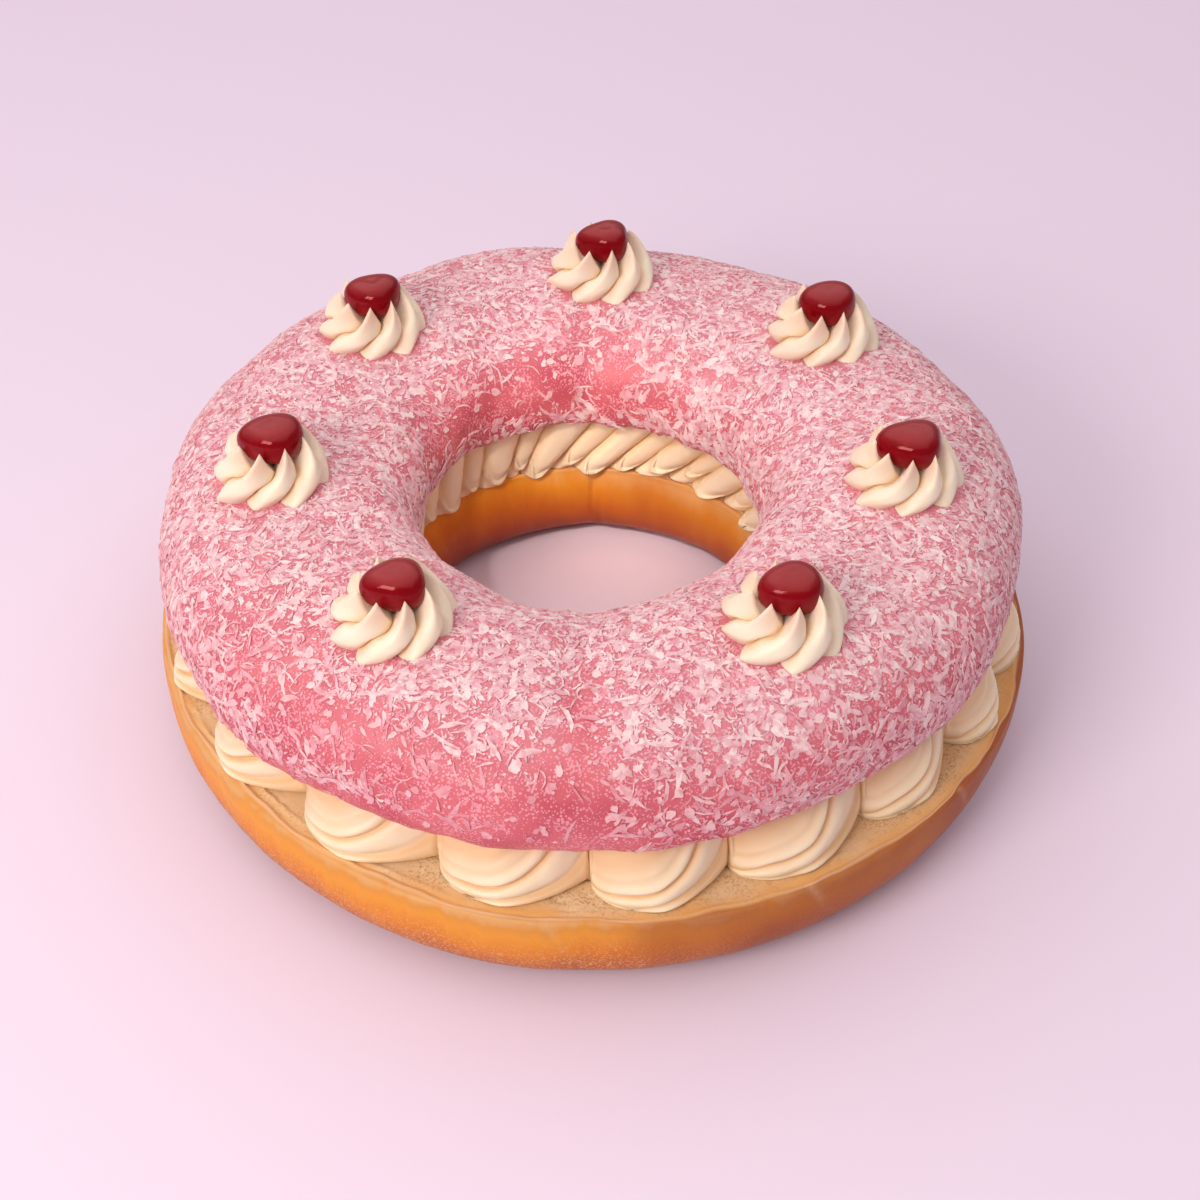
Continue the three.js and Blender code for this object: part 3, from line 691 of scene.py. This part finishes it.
def coat(azimuth, angle):
    """The share of the coconut that sticks at a place: all of it, less a bell for each thin patch and less
    the jelly's bare edge at the front."""
    left = 1.0
    for patch_azimuth, patch_angle, wide, tall, missing in THIN_PATCHES:
        near = bell(apart(azimuth, radians(patch_azimuth)), radians(wide))
        near = near * bell(angle - radians(patch_angle), radians(tall))
        left = left * (1 - missing * near)
    lip = bell(apart(azimuth, CLEAN_LIP.azimuth), CLEAN_LIP.width)
    return left * (1 - lip * smooth_step(CLEAN_LIP.top, CLEAN_LIP.top - CLEAN_LIP.fade, angle))


def scatter(count, seed, clearance, thinning, on_top):
    """Random places on the dome, even over its area, thinned by coat() to the power thinning and by the
    share on_top towards its highest line, and kept clear of the rosettes."""
    draw = np.random.default_rng(seed)
    azimuth = draw.uniform(0, TURN, count * 4)
    angle = draw.uniform(*COATED, count * 4)
    spot = dome_frame(azimuth, angle)
    area = spot.per_azimuth * spot.per_angle
    share = coat(azimuth, angle) ** thinning * lerp(1, on_top, smooth_step(0.45, 0.95, np.sin(angle)))
    keep = draw.uniform(0, 1, len(azimuth)) < area / area.max() * share
    for centre in rosette_centres():
        distance = np.linalg.norm(spot.point[:, :2] - centre[:2], axis=-1)
        keep &= (distance > ROSETTE.radius * ROSETTE.keep_off + clearance)
    return azimuth[keep][:count], angle[keep][:count]


def flakes(name, count, seed, length, width, thickness=0.22, stations=5, bend=0.5, lift=0.1, tilt=0.04,
           thinning=1.0, on_top=1.0):
    """Coconut flakes as one mesh. Each is a thin flat strip: its middle line is an arc in the surface, its
    width follows 1 - |x|^n from tip to tip with ragged edges, and it tips a little out of the surface. Every
    point is first placed in the surface's two directions and then raised along the normal."""
    azimuth, angle = scatter(count, seed, 0.45 * length[0], thinning, on_top)
    count = len(azimuth)
    draw = np.random.default_rng(seed + 1)
    spot = dome_frame(azimuth, angle)

    def each(low, high):
        """A random number for each flake."""
        return draw.uniform(low, high, count)[:, None]

    long = length[0] + (length[1] - length[0]) * each(0, 1) ** 1.7
    wide = each(*width)
    along = even(stations, -0.5, 0.5)[None, :]
    taper = each(1.4, 6)
    ragged = draw.uniform(0.65, 1.35, (count, stations))
    outline = wide * np.maximum(0.1, (1 - np.abs(2 * along) ** taper)) * ragged
    curl = each(-bend, bend)
    middle_x = long * along
    middle_y = long * curl * (along ** 2 - 0.08) + 0.15 * wide * draw.uniform(-1, 1, (count, stations))
    sides = np.array([-0.5, 0.5, 0.5, -0.5])
    layers = np.array([1, 1, 0, 0])
    flat_x = middle_x[..., None] - 2 * curl[..., None] * along[..., None] * outline[..., None] * sides
    flat_y = middle_y[..., None] + outline[..., None] * sides
    heading = each(0, TURN)[..., None]
    over = flat_x * np.cos(heading) - flat_y * np.sin(heading)
    up = flat_x * np.sin(heading) + flat_y * np.cos(heading)
    raised = each(-0.1, lift)[..., None] + each(-tilt, tilt)[..., None] * flat_x
    raised = raised + each(-tilt, tilt)[..., None] * 2 * flat_y + thickness * layers

    place_azimuth = azimuth[:, None, None] + over / spot.per_azimuth[:, None, None]
    place_angle = angle[:, None, None] + up / spot.per_angle[:, None, None]
    place_angle = np.clip(place_angle, -DOME.hang, np.pi + DOME.hang)
    on = dome_frame(place_azimuth, place_angle)
    points = on.point + on.normal * raised[..., None]

    per_flake = stations * len(sides)
    numbers = np.arange(per_flake).reshape(stations, len(sides))
    beside = np.roll(numbers, -1, 1)
    sleeve = np.stack([numbers[:-1], numbers[1:], beside[1:], beside[:-1]], -1).reshape(-1, 4)
    flake_faces = np.concatenate([sleeve, numbers[:1], numbers[-1:, ::-1]])[:, ::-1]
    faces = (np.arange(count)[:, None, None] * per_flake + flake_faces).reshape(-1, 4)
    tint = np.repeat(draw.uniform(0, 1, count), per_flake)
    soaked = np.clip(1.25 - coat(azimuth, angle) - 0.5 * smooth_step(0.2, 1.2, angle), 0, 1)
    soaked = np.repeat(soaked, per_flake)
    return mesh_piece(name, points.reshape(-1, 3), faces, {"tint": tint, "soaked": soaked}, smooth=False)


# The kinds of flakes, from the longest shreds to the crumbs between them. Dust finer than the crumbs is left
# to the jelly's material.
FLAKES = {
    "coconut_shreds": dict(count=5200, seed=61, length=(2.5, 8.5), width=(0.6, 1.6), tilt=0.09,
                           thinning=1.5, on_top=0.9),
    "coconut_chips": dict(count=4800, seed=63, length=(1.8, 4.2), width=(1.0, 2.4), bend=0.3,
                          thinning=1.4, on_top=0.9),
    "coconut_threads": dict(count=5400, seed=65, length=(2.0, 6.5), width=(0.3, 0.6), bend=1.6, tilt=0.09,
                            on_top=1.3),
    "coconut_grains": dict(count=9600, seed=67, length=(1.0, 1.9), width=(0.5, 1.0), stations=3, tilt=0.1,
                           on_top=1.8),
    "coconut_crumbs": dict(count=9800, seed=69, length=(0.6, 1.2), width=(0.35, 0.7), stations=3, tilt=0.1,
                           on_top=1.8),
}


# ---- Materials ----

def linear(hex_colour):
    """An sRGB hex colour as linear RGBA."""
    channels = np.array([int(hex_colour[i:i + 2], 16) for i in (1, 3, 5)]) / 255
    low = channels / 12.92
    high = ((channels + 0.055) / 1.055) ** 2.4
    return (*np.where(channels <= 0.04045, low, high), 1.0)


def per_metre(size):
    """The scale of a pattern whose spots are that many millimetres wide."""
    return 1 / (size * MM)


def add_node(tree, kind, inputs=None, output=0, stops=None, **settings):
    """Adds a node of that kind and returns the output socket that is wanted. inputs are its sockets'
    numbers, hex colours or links from other sockets, stops are a colour ramp's places and colours, and
    settings are the node's own options. A Mix of colours takes its share at input 0 and its two colours at
    6 and 7, and gives the result at output 2."""
    made = tree.nodes.new("ShaderNode" + kind)
    for key, value in settings.items():
        setattr(made, key, value)
    for key, value in (inputs or {}).items():
        if isinstance(value, bpy.types.NodeSocket):
            tree.links.new(value, made.inputs[key])
        else:
            made.inputs[key].default_value = linear(value) if isinstance(value, str) else value
    if stops:
        elements = made.color_ramp.elements
        while len(elements) < len(stops):
            elements.new(0.5)
        for element, (position, colour) in zip(elements, stops):
            element.position = position
            element.color = linear(colour)
    return made.outputs[output] if made.outputs else None


def new_material(name):
    """An empty material, and the function that adds nodes to it."""
    material = bpy.data.materials.new(name)
    material.use_nodes = True
    material.node_tree.nodes.clear()
    return material, partial(add_node, material.node_tree)


def fried_dough():
    """Fried yeast dough: a thin oily skin, golden in the middle of the wall, browner low down, and pale along
    the cut, with fine upright wrinkles and light specks low outside. The skin browns towards the right,
    partly real browning and partly painted shade on the side away from the key light, and a painted highlight
    runs along the upright creases. The hole's wall is darker at its left, a painted shade where it faces away
    from the key light.
    The cut face is pale crumb with patches of pores whose dark is painted shade, toasted, and partly painted
    shade, where the skin is browner, and a smooth golden band near its edge. Specks and pores are 0.7 mm
    wide, a little coarser than real, to show."""
    material, add = new_material("fried_dough_skin_and_crumb")
    place = add("TexCoord", output="Object")
    height = add("Attribute", output="Fac", attribute_name="height_share")
    mottle = add("TexNoise", {"Vector": place, "Scale": per_metre(14.3), "Detail": 4})
    upright = add("VectorMath", {0: place, 1: (1, 1, 0.2)}, operation="MULTIPLY")
    wrinkle = add("TexNoise", {"Vector": upright, "Scale": per_metre(5.88), "Detail": 3})
    uneven = add("Math", {0: mottle, 1: wrinkle})
    shifted = add("Math", {0: uneven, 1: 0.26, 2: -0.26}, operation="MULTIPLY_ADD")
    level = add("Math", {0: height, 1: shifted})
    outside = add("ValToRGB", {"Fac": level}, stops=[
        (0.0, "#8c4424"), (0.28, "#b25b2a"), (0.48, "#ca6f2e"), (0.66, "#e28628"), (0.84, "#ea9a36"),
        (0.93, "#e09640"), (1.0, "#e0a667")])
    side = add("SeparateXYZ", {"Vector": place}, "X")
    # Painted shade: the hole's wall is darker at its left, where it faces away from the key light.
    hole_level_left_shaded = add("Math", {0: side, 1: 7.0, 2: level}, operation="MULTIPLY_ADD")
    hole_level_left_shaded = add("Math", {0: hole_level_left_shaded, 1: level}, operation="MINIMUM")
    hole = add("ValToRGB", {"Fac": hole_level_left_shaded}, stops=[
        (0.0, "#8c3a22"), (0.25, "#ac4c22"), (0.5, "#cc6a1c"), (0.78, "#e89428"), (0.95, "#ecb46c")])
    inside = add("Attribute", output="Fac", attribute_name="inside")
    skin = add("Mix", {0: inside, 6: outside, 7: hole}, 2, data_type="RGBA")
    grit = add("TexNoise", {"Vector": place, "Scale": per_metre(0.667), "Detail": 1})
    low_outside = add("Math", {0: level, 1: inside})
    low_outside = add("MapRange", {
        "Value": low_outside, "From Min": 0.85, "From Max": 0.45, "To Max": 0.65})
    speck = add("MapRange", {"Value": grit, "From Min": 0.52, "From Max": 0.64})
    speck = add("Math", {0: speck, 1: low_outside}, operation="MULTIPLY")
    skin = add("Mix", {0: speck, 6: skin, 7: "#f0c08e"}, 2, data_type="RGBA")
    # Partly painted shade: towards the right the skin turns browner, both real browning and shade on the side
    # away from the key light.
    baked = add("TexNoise", {"Vector": place, "Scale": per_metre(45.5), "Detail": 2})
    browning_and_right_shade = add("Math", {0: side, 1: 5.0, 2: baked}, operation="MULTIPLY_ADD")
    browning_and_right_shade = add("MapRange", {"Value": browning_and_right_shade, "From Min": 0.5, "From Max": 1.0, "To Max": 0.9})
    skin = add("Mix", {0: browning_and_right_shade, 6: skin, 7: "#a04c22"}, 2, data_type="RGBA")
    # The pale fold of skin along the cut, and a painted highlight along the upright creases.
    fold = add("Attribute", output="Fac", attribute_name="skin_fold_and_crease_highlight")
    skin = add("Mix", {0: fold, 6: skin, 7: "#edc09a"}, 2, data_type="RGBA")

    # Painted shade: the pores' dark is the shade inside tiny holes, in patches over the open crumb.
    pore_shade = add("TexNoise", {"Vector": place, "Scale": per_metre(0.714), "Detail": 2})
    pore_shade = add("MapRange", {"Value": pore_shade, "From Min": 0.5, "From Max": 0.66, "To Max": 0.65})
    flat = add("VectorMath", {0: place, 1: (1, 1, 0)}, operation="MULTIPLY")
    radius = add("VectorMath", {0: flat}, "Value", operation="LENGTH")
    ragged = add("Math", {0: mottle, 1: 12 * MM, 2: radius}, operation="MULTIPLY_ADD")
    open_crumb = add("MapRange", {
        "Value": ragged, "From Min": (CRUST.crumb_edge + 9) * MM, "From Max": (CRUST.crumb_edge + 3) * MM})
    crumb = add("Mix", {0: open_crumb, 6: "#e9b06c", 7: "#e5c49a"}, 2, data_type="RGBA")
    # The crumb takes some of that browning and painted shade at the right.
    toasted_and_right_shade = add("Math", {0: browning_and_right_shade, 1: 0.3}, operation="MULTIPLY")
    crumb = add("Mix", {0: toasted_and_right_shade, 6: crumb, 7: "#c98a52"}, 2, data_type="RGBA")
    patch = add("TexNoise", {"Vector": place, "Scale": per_metre(15.4), "Detail": 2})
    patch = add("MapRange", {"Value": patch, "From Min": 0.38, "From Max": 0.56})
    pore_shade = add("Math", {0: pore_shade, 1: patch}, operation="MULTIPLY")
    pore_shade = add("Math", {0: pore_shade, 1: open_crumb}, operation="MULTIPLY")
    crumb = add("Mix", {0: pore_shade, 6: crumb, 7: "#9c7442"}, 2, data_type="RGBA")

    cut = add("Attribute", output="Fac", attribute_name="crumb")
    colour = add("Mix", {0: cut, 6: skin, 7: crumb}, 2, data_type="RGBA")
    rough = add("MapRange", {"Value": cut, "To Min": 0.46, "To Max": 0.85})
    bump = add("Bump", {"Height": uneven, "Strength": 0.45, "Distance": 1.0 * MM})
    fine = add("Bump", {"Height": grit, "Strength": 0.35, "Distance": 0.2 * MM, "Normal": bump})
    shader = add("BsdfPrincipled", {
        "Base Color": colour, "Roughness": rough, "IOR": 1.32, "Normal": fine})
    add("OutputMaterial", {"Surface": shader})
    return material


def buttercream(name, shade, light, stained=False):
    """Whipped buttercream, piped: a soft satin fat that lets light in. Its creases and hollows are painted
    shade, a darker tan that the crease_shade attribute mixes in. Near a cherry, its syrup tints the cream."""
    material, add = new_material(name)
    place = add("TexCoord", output="Object")
    cloud = add("TexNoise", {"Vector": place, "Scale": per_metre(8.33), "Detail": 3})
    colour = add("Mix", {0: cloud, 6: shade, 7: light}, 2, data_type="RGBA")
    # Painted shade: a shaded tan where creases, hollows and gaps between ribs and lobes fall into shade.
    crease_shade = add("Attribute", output="Fac", attribute_name="crease_shade")
    colour = add("Mix", {0: crease_shade, 6: colour, 7: "#eec491"}, 2, data_type="RGBA")
    if stained:
        stain = add("Attribute", output="Fac", attribute_name="cherry_stain")
        stain = add("Math", {0: stain, 1: 0.3}, operation="MULTIPLY")
        colour = add("Mix", {0: stain, 6: colour, 7: "#f3a58c"}, 2, data_type="RGBA")
    grain = add("TexNoise", {"Vector": place, "Scale": per_metre(1.43), "Detail": 2})
    bump = add("Bump", {"Height": grain, "Strength": 0.12, "Distance": 0.2 * MM})
    shader = add("BsdfPrincipled", {
        "Base Color": colour, "Roughness": 0.42, "IOR": 1.45, "Subsurface Weight": 0.3,
        "Subsurface Radius": (1.0, 0.6, 0.35), "Subsurface Scale": 1.0 * MM, "Normal": bump})
    add("OutputMaterial", {"Surface": shader})
    return material


def set_jelly():
    """Set pink jelly over dough: a deep rose, wet looking coat, dusted with the finest coconut. The dust's
    grains are drawn 0.4 mm wide and 0.74 mm apart, the finest that shows."""
    material, add = new_material("set_pink_jelly")
    place = add("TexCoord", output="Object")
    dusting = add("Attribute", output="Fac", attribute_name="dusting")
    cloud = add("TexNoise", {"Vector": place, "Scale": per_metre(16.7), "Detail": 3})
    colour = add("ValToRGB", {"Fac": cloud}, stops=[(0.3, "#c44c5d"), (0.7, "#de727b")])
    veil = add("Math", {0: dusting, 1: 0.5}, operation="MULTIPLY")
    colour = add("Mix", {0: veil, 6: colour, 7: "#de94a2"}, 2, data_type="RGBA")
    grains = add("TexVoronoi", {"Vector": place, "Scale": per_metre(0.741)}, "Distance")
    where = add("TexNoise", {"Vector": place, "Scale": per_metre(7.14), "Detail": 2})
    where = add("Math", {0: dusting, 1: 0.1, 2: where}, operation="MULTIPLY_ADD")
    dust = add("Math", {0: where, 1: grains}, operation="SUBTRACT")
    dusted = add("MapRange", {"Value": dust, "From Min": 0.08, "From Max": 0.2, "To Max": 0.75})
    colour = add("Mix", {0: dusted, 6: colour, 7: "#f2a3b0"}, 2, data_type="RGBA")
    bump = add("Bump", {"Height": dusted, "Strength": 0.4, "Distance": 0.2 * MM})
    shader = add("BsdfPrincipled", {
        "Base Color": colour, "Roughness": 0.4, "IOR": 1.38, "Normal": bump})
    add("OutputMaterial", {"Surface": shader})
    return material


def coconut():
    """Desiccated coconut in pink jelly: dry, pale shreds with a faint fibre. Each took up some pink, more
    where the coat is thin, and the jelly clings to it in darker stains about 2 mm wide."""
    material, add = new_material("desiccated_coconut")
    place = add("TexCoord", output="Object")
    tint = add("Attribute", output="Fac", attribute_name="tint")
    soaked = add("Attribute", output="Fac", attribute_name="soaked")
    dry = add("ValToRGB", {"Fac": tint}, stops=[(0.0, "#e8b0ba"), (0.5, "#efc9cd"), (1.0, "#f4dfdf")])
    wet = add("ValToRGB", {"Fac": tint}, stops=[(0.0, "#dc8593"), (0.5, "#e79fa9"), (1.0, "#f3c2c4")])
    colour = add("Mix", {0: soaked, 6: dry, 7: wet}, 2, data_type="RGBA")
    jelly = add("TexNoise", {"Vector": place, "Scale": per_metre(2.22), "Detail": 3})
    jelly = add("MapRange", {"Value": jelly, "From Min": 0.48, "From Max": 0.64, "To Max": 0.55})
    colour = add("Mix", {0: jelly, 6: colour, 7: "#d27787"}, 2, data_type="RGBA")
    fibre = add("TexNoise", {"Vector": place, "Scale": per_metre(1.11), "Detail": 2})
    bump = add("Bump", {"Height": fibre, "Strength": 0.3, "Distance": 0.2 * MM})
    shader = add("BsdfPrincipled", {
        "Base Color": colour, "Roughness": 0.6, "IOR": 1.45, "Normal": bump})
    add("OutputMaterial", {"Surface": shader})
    return material


def glace():
    """A glace cherry: dark red fruit soaked in syrup, with a smooth sticky gloss that takes the fruit's
    colour, and a paler, duller top that is painted sheen: the soft reflection of the overhead light, mixed
    into its colour."""
    material, add = new_material("glace_cherry_in_syrup")
    place = add("TexCoord", output="Object")
    flesh = add("TexNoise", {"Vector": place, "Scale": per_metre(6.25), "Detail": 3})
    colour = add("Mix", {0: flesh, 6: "#74000c", 7: "#900311"}, 2, data_type="RGBA")
    # Painted sheen: the upper part is mixed towards a dusty rose, standing in for the overhead light's
    # reflection.
    top_sheen = add("Attribute", output="Fac", attribute_name="painted_top_sheen")
    top_sheen = add("Math", {0: top_sheen, 1: 0.55}, operation="MULTIPLY")
    colour = add("Mix", {0: top_sheen, 6: colour, 7: "#a8484a"}, 2, data_type="RGBA")
    bump = add("Bump", {"Height": flesh, "Strength": 0.25, "Distance": 0.6 * MM})
    shader = add("BsdfPrincipled", {
        "Base Color": colour, "Roughness": 0.1, "IOR": 1.42, "Specular Tint": "#ffb0b0", "Normal": bump,
        "Subsurface Weight": 0.3, "Subsurface Radius": (1.0, 0.08, 0.06), "Subsurface Scale": 2 * MM})
    add("OutputMaterial", {"Surface": shader})
    return material


def pale_board():
    """Matt pale pink card under the object, with no sheen."""
    material, add = new_material("pale_card")
    shader = add("BsdfPrincipled", {"Base Color": "#ecdaec", "Roughness": 0.9})
    add("OutputMaterial", {"Surface": shader})
    return material


# ---- Camera, light and floor ----

# Fitted to the photograph's outlines of the ring, the rosettes and the hole.
VIEW = Sizes(down=radians(41.48), distance=570.2, target_height=40, focal_pixels=1977, image_pixels=1200,
             centre_x=592.8, centre_y=557.3)
SURROUNDINGS = Sizes(colour="#fff6fa", strength=0.29)
# Each light's azimuth and elevation in degrees, distance, width and height in metres, watts and colour.
SOFT_BOXES = {
    "key": (-128, 34, 1.1, 0.5, 0.34, 6.0, "#fff9f0"),
    "front_fill": (-86, 64, 1.6, 2.4, 1.2, 7.0, "#fffbf8"),
    "left_fill": (172, 42, 1.5, 2.0, 1.5, 3.4, "#fff9f4"),
    "overhead": (88, 62, 1.6, 3.0, 2.0, 14.2, "#fffafc"),
}
HOLE_LIGHT = Sizes(watts=8.2, colour="#fff3e2", distance=0.6, spot_radius=0.045, blend=0.6, softness=0.03)
FLOOR = Sizes(reach=4000, height=-0.2)  # just under the object, so that the two don't share a plane


def photograph_camera():
    """The camera where the photograph's stood, with its focal length and shifts worked out from pixels."""
    sensor = 36
    data = bpy.data.cameras.new("photograph_camera")
    camera = new_object("photograph_camera", data)
    back = Vector((0, -np.cos(VIEW.down), np.sin(VIEW.down)))
    up = Vector((0, np.sin(VIEW.down), np.cos(VIEW.down)))
    place = (Vector((0, 0, VIEW.target_height)) + back * VIEW.distance) * MM
    axes = Matrix([(1, 0, 0), up, back]).transposed().to_4x4()
    camera.matrix_world = Matrix.Translation(place) @ axes
    data.sensor_width = sensor
    data.lens = sensor * VIEW.focal_pixels / VIEW.image_pixels
    data.shift_x = 0.5 - VIEW.centre_x / VIEW.image_pixels
    data.shift_y = VIEW.centre_y / VIEW.image_pixels - 0.5
    bpy.context.scene.camera = camera


def hang_light(data, watts, colour, direction, distance, target):
    """Hangs a light that far from its target, in metres, and turns it to face the target."""
    data.energy = watts
    data.color = linear(colour)[:3]
    light = new_object(data.name, data)
    light.location = direction * distance + Vector(target)
    light.rotation_euler = direction.to_track_quat("Z", "Y").to_euler()


def soft_box(name, azimuth, elevation, distance, width, height, watts, colour):
    """A rectangular light that faces the object from that azimuth and elevation."""
    data = bpy.data.lights.new(name, "AREA")
    data.shape = "RECTANGLE"
    data.size = width
    data.size_y = height
    level = np.cos(radians(elevation))
    direction = Vector((np.cos(radians(azimuth)) * level, np.sin(radians(azimuth)) * level,
                        np.sin(radians(elevation))))
    hang_light(data, watts, colour, direction, distance, (0, 0, 0.04))


def hole_light():
    """A small soft spot from the front that falls over the near rim and on the back of the hole."""
    data = bpy.data.lights.new("hole_light", "SPOT")
    data.spot_size = 2 * np.arctan(HOLE_LIGHT.spot_radius / HOLE_LIGHT.distance)
    data.spot_blend = HOLE_LIGHT.blend
    data.shadow_soft_size = HOLE_LIGHT.softness
    direction = Vector((-0.25, -0.57, 0.78)).normalized()
    hang_light(data, HOLE_LIGHT.watts, HOLE_LIGHT.colour, direction, HOLE_LIGHT.distance, (0, 0.04, 0.03))


def stage_and_light():
    """The surroundings, the lights and the floor."""
    scene = bpy.context.scene
    scene.view_settings.view_transform = "Standard"
    scene.world = bpy.data.worlds.new("soft_surroundings")
    scene.world.use_nodes = True
    background = scene.world.node_tree.nodes["Background"]
    background.inputs["Color"].default_value = linear(SURROUNDINGS.colour)
    background.inputs["Strength"].default_value = SURROUNDINGS.strength
    for name, settings in SOFT_BOXES.items():
        soft_box(name, *settings)
    hole_light()
    signs = [(-1, -1), (1, -1), (1, 1), (-1, 1)]
    corners = np.array([(x * FLOOR.reach, y * FLOOR.reach, FLOOR.height) for x, y in signs])
    floor = mesh_piece("floor", corners, np.array([[0, 1, 2, 3]]))
    floor.data.materials.append(pale_board())


# ---- The whole ----

photograph_camera()
stage_and_light()

finished(dough_ring(), fried_dough(), "fried_dough", "base_half")
plain_cream = buttercream("piped_buttercream", "#fbe1bc", "#feecd2")
finished(cream_ring(), plain_cream, "buttercream", "cream_filling")
finished(jelly_dome(), set_jelly(), "pink_jelly_and_coconut", "top_half")

shredded = coconut()
for name, kind in FLAKES.items():
    finished(flakes(name, **kind), shredded, "pink_jelly_and_coconut")

rosette_cream = buttercream("piped_buttercream_with_syrup", "#fde6cb", "#fef0dd", stained=True)
cherry_syrup = glace()
for index, centre in enumerate(rosette_centres()):
    finished(rosette(index, centre), rosette_cream, "rosette_cream", f"rosette_{index + 1}")
    finished(cherry(index, centre), cherry_syrup, "glace_cherry", f"cherry_{index + 1}")
